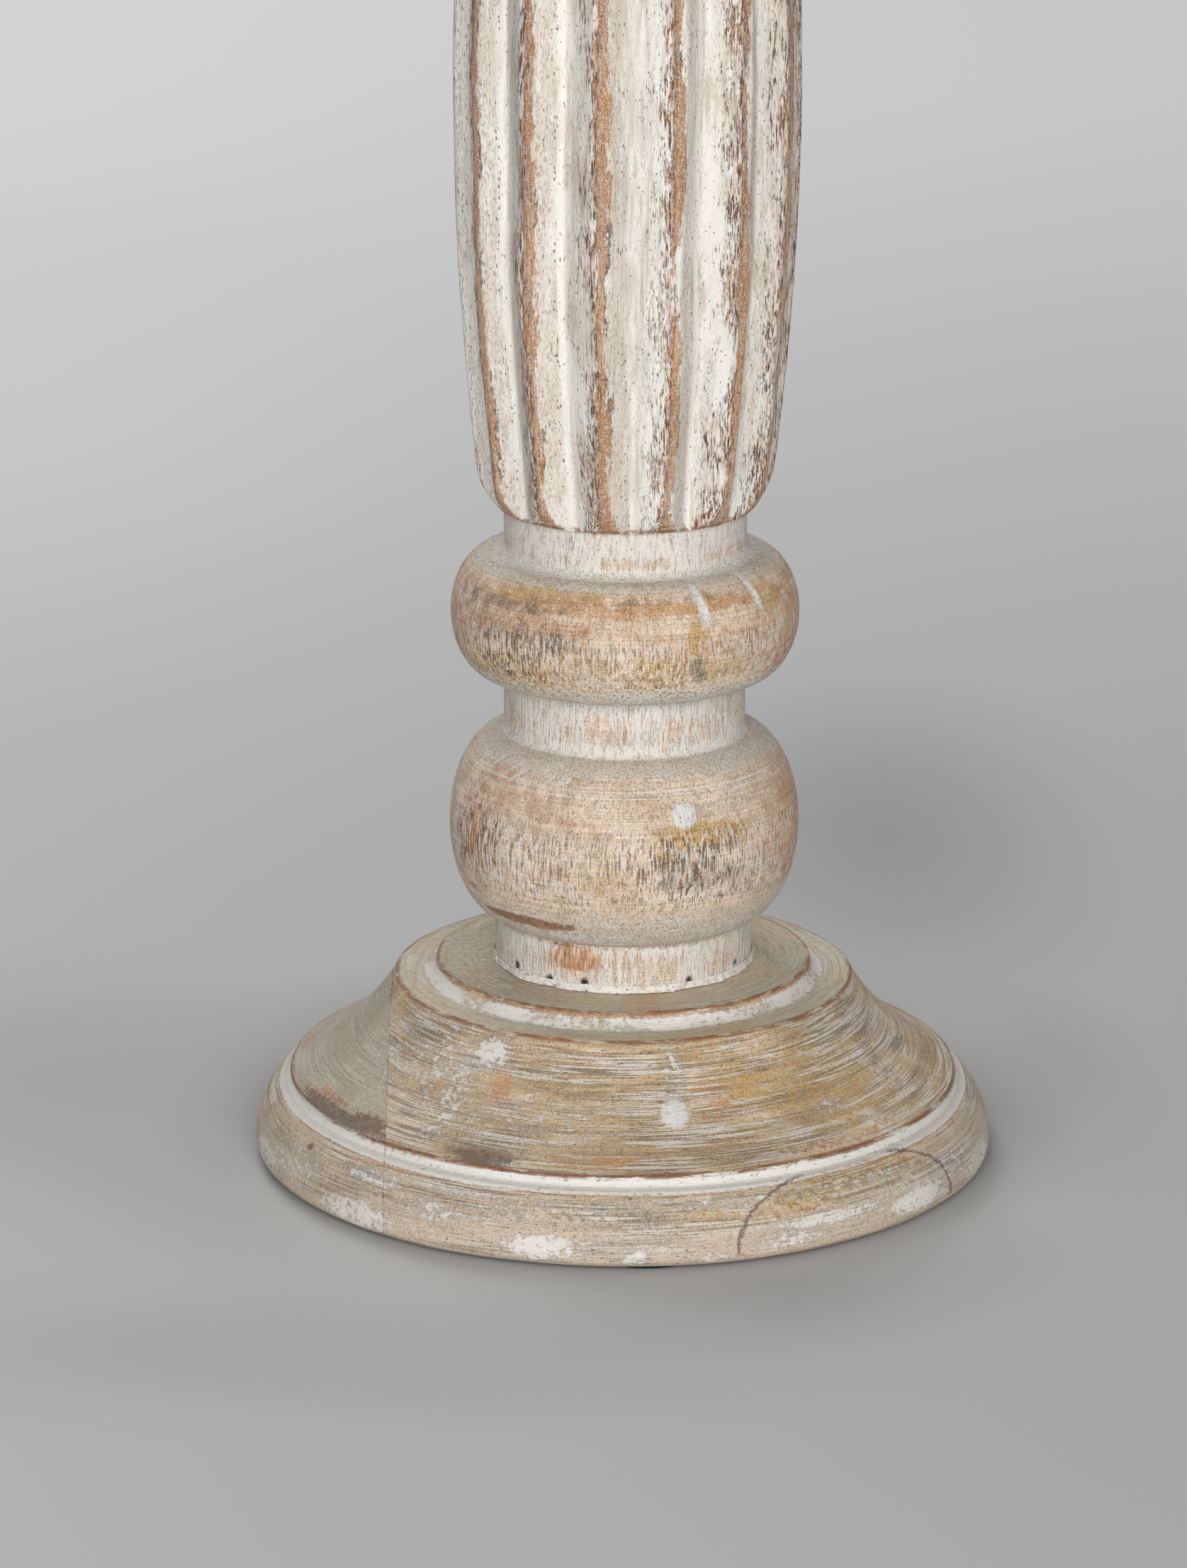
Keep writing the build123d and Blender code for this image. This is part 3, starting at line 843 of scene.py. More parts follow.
def limed_baluster(c):
    """Thin white lime over turned wood with upright grain."""
    f = Finish("limed_wood", roughness=0.6)
    lime, haze = f.kept("lime"), f.kept("haze")
    _, arc, round_place = f.on_lathe()
    broad = f.noise((8, 8, 9), detail=3, shift=1)
    grain = f.noise((0.8, 0.8, 7), detail=5, rough=0.62, shift=2)
    fibre = f.noise((0.42, 0.42, 3.6), detail=3, rough=0.6, shift=6)
    grit = f.noise((0.32, 0.32, 0.36), detail=3, rough=0.65, shift=9)
    clumps = f.noise((2.4, 2.4, 3.2), detail=3, shift=14)
    torn = fibre * 0.5 + clumps * 0.5
    wood = f.ramp(
        broad * 0.65 + grain * 0.35,
        (0.37, shade(c.wood, 1.04)), (0.44, shade(c.wood_light, 0.94)),
        (0.53, shade(c.wood_light, 1.12)), (0.66, shade(c.paint_thin, 1.2)),
    )
    on_neck = f.ease(lime, 0.2, 0.4)
    wood = f.mix(wood, shade(c.wood_light, 1.06), on_neck * 0.55)
    for name, colour, depth in (
        ("ochre", c.ochre, 0.85), ("rust", f.mix(c.wood_orange, c.wood, 0.35), 0.8),
        ("smoke", c.smoke, 0.72),
    ):
        wood = f.mix(wood, colour, f.ragged(f.kept(name), torn) * depth)
    turned = f.noise((0.36, 50, 0.36), detail=3, shift=4, at=round_place)
    wood = f.toned(wood, turned, 0.82, 1.13)
    # grey bloom on the tops and undersides of the turned beads; on the undersides its pale colour
    # is also painted light from below
    bloom = f.ragged(haze, clumps * 0.6 + grit * 0.4, 2.4)
    wood = f.mix(
        wood, f.mix(shade(c.haze, 1.05), c.paint_cool, f.ease(broad, 0.42, 0.62, 0.0, 0.6)),
        bloom * 0.76,
    )
    # upright pores: lime in some, dirt in others, and fewer of them where the grain is cut across
    belt, pores = f.kept("upright"), f.kept("pores")
    white = f.ease(fibre + (clumps - 0.5) * 0.35, 0.55, 0.61)
    wood = f.mix(wood, c.paint, white * f.ease(belt, 0.0, 1.0, 0.15, 0.85))
    dark = f.ease(fibre - (pores * 0.035 + (clumps - 0.5) * 0.2), 0.435, 0.38)
    deep = f.mix(shade(c.wood_dark, 1.25), c.crack, pores * 0.6)
    wood = f.mix(wood, deep, dark * f.ease(belt + pores, 0.0, 1.6, 0.08, 0.9))
    lines = f.veins((1.0, 1.0, 7), 0.013, shift=21)
    wood = f.mix(wood, shade(c.wood_dark, 1.15), lines * belt * 0.7)
    lines = f.veins((1.2, 1.2, 5), 0.014, shift=33)
    wood = f.coats(
        wood,
        (c.paint, lines * belt * 0.6),
        (c.paint, f.ease(grit, 0.55, 0.63) * 0.5),
        (shade(c.wood_dark, 1.35), f.ease(grit, 0.43, 0.36) * 0.3),
    )
    # thin scored rings on the ball's shoulder, and slanting scratches left of its front
    scores = reduce(f.either, (f.ease(abs(f.z - level), 0.24, 0.1) for level in SCORED_LEVELS))
    scores = scores * f.ease(turned, 0.42, 0.52)
    slant = f.add("CombineXYZ", {0: arc * 0.6 - f.z, 1: arc * 0.6 + f.z})
    scratches = f.ease(f.noise((1.1, 9, 1), detail=2, shift=25, at=slant), 0.53, 0.57)
    scratches = scratches * f.ragged(f.kept("scratched"), clumps, 2.0)
    wood = f.mix(wood, c.paint, f.either(scores, scratches) * 0.7)
    # lime drawn down along the grain of the necks
    drips = f.noise((1.2, 1.2, 10), detail=3, rough=0.55, shift=12)
    drawn = drips * 0.6 + f.noise((0.45, 0.45, 5), detail=3, shift=13) * 0.4
    cover = f.ease(drawn + (lime - 0.5) * 0.85, 0.475, 0.56)
    cover = cover * f.ease(lime, 0.02, 0.12)
    thick = f.mix(c.paint, c.paint_thin, f.ease(grain, 0.42, 0.66, 0.0, 0.45))
    colour = f.mix(wood, thick, cover * 0.86)
    rubbed = f.ragged(f.kept("rust"), drawn, 4.0) * on_neck
    rubbed = rubbed * f.ease(fibre, 0.6, 0.5, 0.25, 0.85)
    colour = f.coats(
        colour,
        (f.toned(c.wood_orange, fibre, 0.9, 1.15), rubbed),
        (shade(c.wood_dark, 1.5), f.ease(grit, 0.42, 0.36) * 0.28),
        (shade(c.crack, 0.9), f.kept("pits")),
        (f.toned(c.filler, clumps, 0.97, 1.05), f.kept("putty")),
    )
    burnt = f.mix(shade(c.edge, 1.05), c.crack, f.ease(grit * 0.6 + fibre * 0.4, 0.47, 0.58))
    burnt = f.mix(burnt, c.ochre, f.ease(torn, 0.52, 0.6, 0.0, 0.7))
    colour = f.mix(colour, burnt, f.ragged(f.kept("burn"), torn, 3.4) * 0.82)
    f.bump(turned, 0.12 * MM)
    f.bump(grain + fibre * 0.6, 0.22 * MM)
    f.bump(1.0 - dark + cover * 0.5, 0.2 * MM)
    f.bump(grit, 0.2 * MM)
    return f.done(colour)


def limed_base(c, name, block=False):
    """Lime brushed round a base of brown boards whose grain runs from side to side."""
    f = Finish(name, roughness=0.58)
    radius, arc, round_place = f.on_lathe()

    def off_edge(at_radius, at_height):
        return f.distance(radius - at_radius / MM, f.z - at_height / MM)

    s = bpy.context.scene.candlestick_base
    cone_foot = node_foot("base_foot") + s.foot_height + s.fillet_height
    cone_top = cone_foot + s.cone_height
    haze, mottle = f.kept("haze"), f.kept("mottle")
    broad = f.noise((20, 9, 9), detail=3, shift=1)
    grain = f.noise((8, 0.6, 0.6), detail=5, rough=0.6, shift=2)
    grit = f.noise((0.34, 0.34, 0.34), detail=3, rough=0.65, shift=9)
    torn = f.noise((1.3, 1.3, 1.1), detail=5, rough=0.68, shift=6)
    fine = f.noise((0.3, 15, 0.3), detail=3, rough=0.6, shift=3, at=round_place)
    broader = f.noise((0.9, 18, 0.9), detail=3, rough=0.6, shift=17, at=round_place)
    brush = fine * 0.75 + broader * 0.25
    bands = f.noise((1.5, 40, 1.5), detail=3, shift=15, at=round_place)
    patches = f.noise((5, 20, 5), detail=3, shift=5, at=round_place)
    mixed = broad * 0.6 + grain * 0.4
    wood = f.ramp(
        mixed, (0.37, shade(c.base_wood, 0.74)), (0.46, c.base_wood),
        (0.54, shade(c.base_wood, 1.2)), (0.66, c.paint_thin),
    )
    wood = f.toned(wood, bands, 0.8, 1.17)
    if block:
        wash = f.ramp(
            mixed, (0.38, shade(c.base_grey, 0.84)), (0.5, shade(c.base_grey, 1.0)),
            (0.62, shade(c.base_grey, 1.16)),
        )
        wash = f.mix(wash, c.base_wood, 0.22)
        wood = f.mix(wood, wash, f.ease(f.z, *WASH_FOOT))
    wood = f.coats(
        wood,
        (f.mix(shade(c.wood_light, 1.05), c.base_wood, f.ease(torn, 0.52, 0.62)), mottle * 0.55),
        (shade(c.paint_thin, 0.92), f.ease(f.z, 15.6, 14.6, 0.0, 0.4)),
    )
    tarnish = f.ease(bands * 0.5 + broad * 0.5, 0.45, 0.58, 0.0, 0.5)
    rubbed = f.mix(shade(c.base_grey, 1.36), shade(c.base_wood, 1.34), tarnish)
    rubbed = f.toned(f.toned(rubbed, brush, 0.84, 1.14), torn, 0.86, 1.14)
    wood = f.mix(wood, rubbed, haze * 0.95)
    for stain, colour, depth in (
        ("ochre", c.ochre, 0.8), ("rust", c.wood_orange, 0.75), ("smoke", c.smoke, 0.6),
    ):
        edge = brush * 0.4 + torn * 0.6
        wood = f.mix(wood, colour, f.ragged(f.kept(stain), edge) * depth)
    # brush marks and turning lines round the axis
    lined = (1.0 - haze * 0.8) * (1.0 - mottle * 0.42)
    if block:
        lined = lined * f.ease(f.z, *WASH_FOOT, 1.0, 0.4)
    marks = f.ease(brush + (patches - 0.5) * 0.6, 0.52, 0.585)
    wood = f.mix(wood, shade(c.paint, 0.96), marks * lined * 0.7)
    darker = f.ease(brush - (patches - 0.5) * 0.45, 0.465, 0.41)
    wood = f.mix(wood, shade(c.base_wood, 0.46), darker * lined * 0.74)
    rough = f.ease(haze, 0.0, 1.0, 1.0, 0.25)
    wood = f.coats(
        wood,
        (c.paint, f.ease(grit, 0.55, 0.62) * (rough * 0.42)),
        (shade(c.wood_dark, 1.2), f.ease(grit, 0.45, 0.38) * (rough * 0.42)),
    )
    pores = f.grains((1.8, 0.45, 0.45), 0.26, 0.3, shift=8)
    wood = f.mix(wood, c.wood_dark, pores * (rough * 0.6))
    # brushed and dabbed lime
    wash = f.kept("lime")
    spread = (torn - 0.5) * 2.2 + (brush - 0.5) * f.ease(mottle, 0.0, 1.0, 1.4, 0.3)
    cover = f.ease(wash + spread, 0.36, 0.7)
    cover = cover * f.ease(wash, 0.04, 0.2)
    # painted light and shade on the lime round the white fillet: whiter than the paint on its
    # upright face and below it, and cool grey between, at its shaded foot
    lime = f.mix(
        c.paint, c.paint_cool, f.ease(f.z, cone_foot / MM - 1.0, cone_foot / MM - 2.1, 0.0, 0.9)
    )
    lime = f.mix(
        shade(c.paint, 1.06), lime, f.ease(f.z, cone_foot / MM - 3.4, cone_foot / MM - 2.4)
    )
    low, high = FILLET_FACE
    lime = f.mix(lime, shade(c.paint, 1.09), f.ease(f.z, *low) * f.ease(f.z, *high))
    wood = f.mix(wood, lime, cover * f.ease(wash, 0.5, 1.0, 0.7, 0.92))
    worn = f.kept("worn")
    for edge in (
        (s.cone_foot_radius, cone_foot), (s.cone_top_radius, cone_top),
        (s.disc_radius, node_top("base_foot")),
    ):
        worn = f.either(worn, f.ease(off_edge(*edge), 1.1, 0.35))
    worn = worn * f.ease(
        f.noise((1, 8, 1), detail=4, rough=0.7, shift=9, at=round_place), 0.4, 0.52
    )
    wood = f.mix(
        wood, f.mix(shade(c.edge, 0.85), c.wood_dark, f.ease(torn, 0.5, 0.62)), worn * 0.92
    )
    if not block:
        wood = knot_crack(f, c, arc, wood, torn, grit)
    burnt = f.mix(shade(c.smoke, 0.6), shade(c.wood_dark, 0.9), f.ease(torn, 0.42, 0.58))
    streaks = (brush + torn) * 0.3 + grit * 0.4
    colour = f.mix(wood, burnt, f.ragged(f.kept("burn"), streaks, 4.4) * 0.85)
    colour = f.mix(colour, f.toned(c.filler, torn, 0.88, 1.02), f.kept("putty"))
    f.bump(brush, 0.2 * MM)
    f.bump(grain + grit, 0.2 * MM)
    f.bump(cover * 0.5 + pores * -1.0, 0.2 * MM)
    return f.done(colour)


def knot_crack(f, c, arc, wood, torn, grit):
    """An arched crack in the foot, right of the front, with ochre wood inside it."""
    middle, per_degree, foot, rise, roundness = 39.4, 0.0461, 3.0, 13, 2.5
    across = abs(arc - middle) * per_degree
    up = f.either((f.z - foot) * (1 / rise), 0.0)
    reach = f.calc("POWER", across, roundness) + f.calc("POWER", up, roundness)
    reach = reach + (torn - 0.5) * 0.25
    on_foot = f.ease(f.z, 2.0, 4.0) * f.ease(f.z, 15.6, 15.0)
    inside = f.ease(reach, 0.98, 0.8) * f.ease(f.z, 6.5, 11.0)
    inside = inside * f.ease(torn * 0.7 + grit * 0.3, 0.44, 0.56)
    tinge = f.mix(shade(c.ochre, 0.95), shade(c.smoke, 0.8), f.ease(torn, 0.55, 0.64))
    wood = f.mix(wood, tinge, inside * on_foot * 0.66)
    line = f.ease(abs(reach - 1.0), 0.06, 0.015)
    line = line * f.ease(grit, 0.4, 0.5, 0.5, 1.0)
    return f.mix(wood, shade(c.wood_dark, 0.7), line * on_foot * 0.8)


def rough_filler(c):
    """White filler pressed round a joint with a thumb."""
    f = Finish("white_filler", roughness=0.75)
    lumps = f.noise((1.2, 1.2, 0.9), detail=5, rough=0.65)
    colour = f.ramp(
        lumps, (0.36, shade(c.paint_thin, 0.8)), (0.45, c.paint_thin), (0.52, c.filler),
        (0.7, shade(c.filler, 1.03)),
    )
    pits = f.grains((0.9, 0.9, 0.9), 0.26, 0.35, shift=3)
    colour = f.mix(colour, shade(c.wood_dark, 0.8), pits * 0.8)
    f.bump(lumps, 0.3 * MM)
    f.bump(1.0 - pits, 0.2 * MM)
    return f.done(colour)


def blackened_iron():
    """Forged iron, blackened and rubbed bright on its high places."""
    f = Finish("black_iron", roughness=0.5)
    f.shader.inputs["Metallic"].default_value = 1.0
    scale = f.noise((2.5, 2.5, 2.5), detail=4, shift=1)
    fine = f.noise((0.4, 0.4, 0.4), detail=3, rough=0.65, shift=2)
    mixed = scale * 0.75 + fine * 0.25
    colour = f.ramp(
        mixed, (0.36, (0.03, 0.028, 0.026)), (0.5, (0.05, 0.047, 0.044)),
        (0.66, (0.095, 0.088, 0.08)),
    )
    rust = f.ease(f.noise((6, 6, 6), detail=5, rough=0.6, shift=4), 0.58, 0.72)
    colour = f.mix(colour, (0.11, 0.055, 0.03), rust * 0.45)
    f.bump(scale, 0.06 * MM)
    f.bump(fine, 0.03 * MM)
    return f.done(colour, f.ease(mixed, 0.38, 0.62, 0.55, 0.48))


def zinc():
    """Zinc-plated steel."""
    f = Finish("zinc_steel", roughness=0.35)
    f.shader.inputs["Metallic"].default_value = 1.0
    cloud = f.noise((1.2, 1.2, 1.2), detail=3)
    colour = f.ramp(cloud, (0.35, (0.42, 0.43, 0.44)), (0.65, (0.62, 0.63, 0.62)))
    f.bump(cloud, 0.03 * MM)
    return f.done(colour, f.ease(cloud, 0.3, 0.7, 0.3, 0.45))


def bare_dowel(c):
    """Bare beech dowel with fine upright grain."""
    f = Finish("bare_dowel_wood", roughness=0.6)
    grain = f.noise((0.5, 0.5, 8), detail=4)
    colour = f.ramp(grain, (0.35, shade(c.wood, 0.8)), (0.5, c.wood), (0.65, c.wood_light))
    f.bump(grain, 0.08 * MM)
    return f.done(colour)


def dark_felt():
    """Dense dark green felt."""
    f = Finish("dark_felt", roughness=0.95)
    fibre = f.noise((0.25, 0.25, 0.25), detail=5, rough=0.75)
    colour = f.ramp(fibre, (0.35, (0.006, 0.018, 0.018)), (0.65, (0.03, 0.07, 0.07)))
    f.bump(fibre, 0.3 * MM)
    return f.done(colour)


# ---------------------------------------------------------------- pieces

LAG_HOLE = 3.1 * MM  # radius of the lag screw's hole
TENON_PLAY = 0.1 * MM  # room round a tenon
TENON_FLOOR = 0.4 * MM  # room under a tenon
WASHER_PLAY = 0.8 * MM  # room round the washer
DISH_TENON = 10 * MM  # radius of the collar's tenon in the dish
DISH_SOCKET = 9.4 * MM  # depth of its socket
SPIKE_BORE = 3.05 * MM  # radius of the spike's hole in the dish
DENTS = 60  # in the foot
PUTTY_ON_CONE = (10.6, 26.1)  # angle and height in mm
PUTTY_ON_BALL = (20.6, 80.0)

# Marks are rows of angle, height, half width and half height in mm, strength, and for some
# their own softness.
BASE_LIME = (
    (-32, 34, 4.8, 2.6, 0.85), (11.3, 33, 2.4, 4.6, 0.6), (-37, 25, 4.0, 8.0, 0.55),
    (-45, 30, 4, 8, 0.5), (-12.5, 5, 8, 3.0, 0.8), (-45, 4.5, 12, 3.4, 0.75),
    (34, 7.6, 15, 1.6, 0.75), (52, 5.6, 10, 2.6, 0.85), (46, 10, 16, 2.6, 0.62),
    (60, 8, 12, 3, 0.5), (48, 8.5, 16, 5, 0.42), (-30, 9, 9, 2.2, 0.55), (2, 3.5, 3, 1.8, 0.75),
    (75, 5, 14, 3, 0.7), (14, 3, 4, 1.5, 0.6), (-62, 8, 14, 4, 0.5), (-42, 11.5, 10, 2, 0.5),
    (-20, 11, 12, 2, 0.45), (-5, 6, 12, 2.4, 0.42), (-75, 5, 10, 3, 0.7), (26, 4.6, 10, 1.6, 0.6),
    (64, 9, 8, 2.4, 0.5), (44, 23.3, 5, 1.4, 0.5), (-55, 30, 12, 7, 0.4), (-20, 24, 22, 5, 0.36),
    (5, 12.6, 60, 1.2, 0.4), (120, 6, 18, 3, 0.6), (170, 5, 22, 3, 0.6), (-110, 6, 18, 3, 0.55),
    (150, 28, 9, 5, 0.5), (-150, 30, 7, 4, 0.6), (100, 26, 5, 8, 0.45), (-170, 24, 16, 6, 0.4),
)
BASE_OCHRE = (
    (24, 31, 24, 8, 0.55, 1.6), (48, 27, 26, 11, 0.5, 1.6), (14, 10, 10, 2.4, 0.5, 1.3),
    (150, 20, 30, 8, 0.5, 1.5),
)
BASE_RUST = (
    (-27, 28.5, 2.2, 4.5, 0.7), (-24, 25.5, 1.8, 3.4, 0.55), (18.3, 27.8, 4.2, 4.2, 0.62),
    (8, 40.4, 7, 1.4, 0.5), (-50, 7, 9, 4, 0.6, 1.4), (28, 9, 6, 2.4, 0.55, 1.4),
)
BASE_SMOKE = (
    (-25, 18.9, 9.5, 1.5, 0.75, 1.1), (67, 29, 3.5, 9, 0.55, 1.3), (25, 19.4, 26, 0.9, 0.5),
    (-15, 10.8, 24, 1.3, 0.5, 1.3), (-46, 12, 8, 1.8, 0.6, 1.4), (3, 10.5, 9, 2.0, 0.6, 1.4),
    (-68, 11, 7, 2.4, 0.5, 1.4), (-72, 41.3, 34, 1.4, 0.5),
)
BLOCK_SMOKE = ((-60, 18.9, 19, 1.3, 0.55, 1.3),)
BASE_BURN = ((-59.5, 12.4, 1.1, 0.8, 0.8, 0.8), (-25, 18.6, 8, 1.0, 0.6))
BLOCK_BURN = ((-60, 18.3, 19, 0.75, 0.85), (-51, 18.9, 6, 1.2, 0.7))


class TurnBase(bpy.types.Operator):
    """Turn the stepped base and part it along its glue line"""

    bl_idname = "candlestick.turn_base"
    bl_label = "Base"

    def execute(self, context):
        s = context.scene.candlestick_base
        foot, top = node_foot("base_foot"), node_top("base_foot")
        radius = node_radius("base_foot")
        fillet_foot = foot + s.foot_height
        cone_foot = fillet_foot + s.fillet_height
        cone_top = cone_foot + s.cone_height
        ceiling = foot + s.recess_depth
        socket = node_foot("lower_baluster") - TENON_FLOOR
        tenon = context.scene.candlestick_baluster.tenon_radius + TENON_PLAY
        washer = node_top("base_washer")
        washer_hole = node_radius("base_washer") + WASHER_PLAY
        outline = Outline(LAG_HOLE, socket).lines(
            (LAG_HOLE, washer), (washer_hole, washer), (washer_hole, ceiling, 0.2 * MM),
            (s.recess_radius, ceiling), (s.recess_radius, foot, 0.4 * MM), (radius - s.heel, foot),
        )
        outline.bow(radius, foot + s.heel, -QUARTER_BOW * s.heel)
        drop = s.foot_height - s.heel
        inset = radius - s.foot_top_radius
        curve = (drop**2 + inset**2) / (2 * inset)
        bulge = curve - math.sqrt(curve**2 - (drop**2 + inset**2) / 4)
        outline.bow(s.foot_top_radius, fillet_foot, -bulge, soft=0.5 * MM)
        outline.bow(s.cone_foot_radius + 0.1 * MM, cone_foot - 0.7 * MM, 0.55 * MM)
        outline.line(s.cone_foot_radius, cone_foot, soft=0.3 * MM)
        outline.bow(s.cone_top_radius, cone_top, s.cone_hollow, soft=0.6 * MM)
        outline.line(s.disc_radius + s.disc_cove_reach, cone_top, soft=0.3 * MM)
        outline.bow(s.disc_radius, top, 0.6 * MM, soft=0.5 * MM)
        outline.lines((tenon, top, 0.2 * MM), (tenon, socket), (LAG_HOLE, socket))
        whole = turn_piece("base_turned", scored(outline.spaced(0.6 * MM), s.scoring, 1), steps=480)
        wear_unevenly(whole, (22 * MM, 0.25 * MM), (6 * MM, 0.08 * MM))
        self.dent(whole)
        for side, name, node, slot in (
            (1, "base_board", "base_foot", "limed_base_wood"),
            (-1, "base_block", "base_edge_block", "limed_edge_wood"),
        ):
            part = self.part(whole, side, name, s)
            self.record(Surface(part), s, cone_foot, cone_top, top)
            limed_base(context.scene.candlestick_colours, slot, block=side < 0)
            fit_piece(part, slot, node)
        bpy.data.objects.remove(whole)
        return {"FINISHED"}

    def dent(self, whole):
        """A drop of putty on the cone, and dents in the foot."""
        surface = Surface(whole)
        mould(whole, surface.patch(*PUTTY_ON_CONE, 2.9, 2.2, 0.7), 0.4 * MM)
        draw = np.random.default_rng(3)
        dents = strongest(*(
            surface.patch(
                draw.uniform(-180, 180), draw.uniform(3, 14), draw.uniform(0.8, 3.5),
                draw.uniform(0.4, 1.2), 1.2,
            ) * draw.uniform(0.2, 1.0)
            for _ in range(DENTS)
        ))
        mould(whole, dents, -0.35 * MM)

    def part(self, whole, side, name, s):
        """The board right of the glue line, or the block left of it."""
        piece = copy_piece(whole)
        piece.name = name
        edit_all()
        bpy.ops.mesh.bisect(
            plane_co=(-s.glue_line + side * s.glue_gap / 2, 0, 0), plane_no=(1, 0, 0),
            use_fill=True, clear_inner=side > 0, clear_outer=side < 0,
        )
        bpy.ops.mesh.select_all(action="SELECT")
        bpy.ops.mesh.normals_make_consistent(inside=False)
        bpy.ops.object.mode_set(mode="OBJECT")
        return piece

    def record(self, surface, s, cone_foot, cone_top, top):
        """Where lime, stains and marks lie on the base."""
        height, radius = surface.height, surface.radius
        lumps = surface.ripple((7, 7, 5), 21)
        cove = surface.ring(s.disc_radius + 1.5 * MM, cone_top + 1.2 * MM, 2.3, 1.2)
        fillet = surface.band(cone_foot - 1.5 * MM, 2.0, 1.4)
        fillet *= ease(radius, s.cone_foot_radius - 0.4 * MM, s.cone_foot_radius)
        step = surface.band(cone_top, 0.7, 0.2)
        block = ease(surface.points[:, 0], -s.glue_line + 0.5 * MM, -s.glue_line)
        surface.record(
            lime=strongest(
                cove * np.clip(0.8 + 0.25 * lumps, 0.4, 1.0), fillet, surface.patches(BASE_LIME)
            ),
            haze=strongest(
                step * ease(radius, s.disc_radius, s.disc_radius + MM),
                ease(height, top - 0.4 * MM, top - 0.1 * MM),
            ),
            ochre=surface.patches(BASE_OCHRE),
            rust=strongest(
                surface.patches(BASE_RUST),
                surface.band(cone_foot + 1.3 * MM, 1.6, 0.5) * (0.42 + 0.2 * lumps),
                0.62 * surface.band(cone_foot - 3.3 * MM, 0.7, 0.2),
                0.55 * surface.band(top - 1.0 * MM, 0.8, 0.3),
            ),
            smoke=strongest(surface.patches(BASE_SMOKE), surface.patches(BLOCK_SMOKE) * block),
            burn=strongest(surface.patches(BASE_BURN), surface.patches(BLOCK_BURN) * block),
            mottle=strongest(ease(height, 11 * MM, 6.5 * MM), cove),
            putty=surface.patch(*PUTTY_ON_CONE, 2.8, 2.1, 0.25),
        )


BALUSTER_PITS = (
    (-55.9, 43.3, 0.7, 0.9, 1), (-35, 42.7, 0.8, 0.6, 1), (-17.5, 42.9, 0.8, 0.9, 1),
    (30.9, 42.8, 0.8, 0.6, 1), (61, 43.4, 0.9, 0.5, 1), (95, 43, 0.8, 0.7, 1),
    (150, 42.8, 0.7, 0.9, 1), (-100, 43.2, 0.8, 0.7, 1), (-140, 42.9, 0.9, 0.6, 1),
)
# Lime on the baluster. The rows at about 53 and 102.5 mm lay lime thickly round the undersides of
# the ball and the bead: partly real lime, partly painted light from below.
BALUSTER_LIME_AND_UNDERSIDE_LIGHT = (
    (49, 68, 7, 6, 0.46), (-40, 60, 12, 3, 0.4), (10, 60.5, 16, 2, 0.36),
    (-15, 53.2, 26, 3.0, 0.56), (45, 53.6, 20, 3.0, 0.56), (-70, 88, 8, 3, 0.4),
    (50, 88, 12, 2, 0.4), (0, 102.4, 30, 2.2, 0.5), (60, 102.6, 20, 2.2, 0.5),
    (-65, 102.6, 18, 2.2, 0.5), (-55, 70, 6, 8, 0.4), (60, 106, 8, 3, 0.36),
    (-10, 105, 12, 2.4, 0.34), (130, 66, 10, 7, 0.45), (-130, 72, 9, 9, 0.4),
    (160, 112, 12, 5, 0.4),
)
BALUSTER_OCHRE = (
    (28, 75.4, 12.5, 3.0, 0.85, 1.2), (23, 116, 1.9, 4.0, 1.0), (-5, 68, 10, 6, 0.5),
    (20, 110, 20, 5, 0.62), (58, 121, 6, 3, 0.7), (-20, 122.3, 26, 2.2, 0.75),
    (30, 121.8, 22, 2.0, 0.7), (14, 73, 3, 6, 0.7), (-45, 107, 22, 6, 0.6), (140, 74, 12, 5, 0.7),
    (-120, 112, 14, 6, 0.6), (110, 112, 22, 7, 0.55), (190, 110, 22, 6, 0.55),
)
BALUSTER_SMOKE = (
    (25, 69.5, 10.5, 6.4, 0.52, 1.1), (24.6, 109.2, 1.8, 3.2, 0.95), (-66, 70, 5, 8, 0.4),
    (175, 108, 9, 4, 0.5), (-28, 115, 16, 2.4, 0.5), (8, 123.2, 24, 0.8, 0.42),
    (-40, 121, 16, 1.6, 0.5), (-60, 120, 9, 3, 0.45),
)
BALUSTER_RUST = (
    (-22, 47.9, 6.0, 2.8, 0.8, 0.8), (-38, 117, 18, 5, 0.68), (-48, 82, 16, 4.5, 0.5),
    (-20, 77, 14, 3, 0.42), (40, 115, 22, 5, 0.55), (0, 121.8, 46, 1.9, 0.75),
    (90, 121.8, 30, 1.7, 0.6), (-110, 121.8, 30, 1.7, 0.6), (-75, 112, 10, 8, 0.6),
    (75, 112, 12, 9, 0.78), (76, 72, 12, 13, 0.72), (100, 80, 14, 5, 0.5), (-150, 84, 14, 4, 0.5),
    (62, 78, 10, 6, 0.45), (-62, 72, 7, 9, 0.5),
)
BALUSTER_BURN = ((-38, 56.1, 12.5, 1.15, 1, 0.9), (-62, 60, 4, 1.2, 0.5))
BALUSTER_PORES = (
    (25, 69, 12, 6.5, 0.85), (-58, 74, 8, 9, 1), (-38, 116, 14, 5, 0.8), (-43, 111, 9, 6, 1),
)
BEAD_NICKS = ((27.4, 121.7, 1.0, 3.6), (51.2, 122.3, 0.85, 3.2))
NICK_LEAN = 0.35  # degrees to a millimetre of height


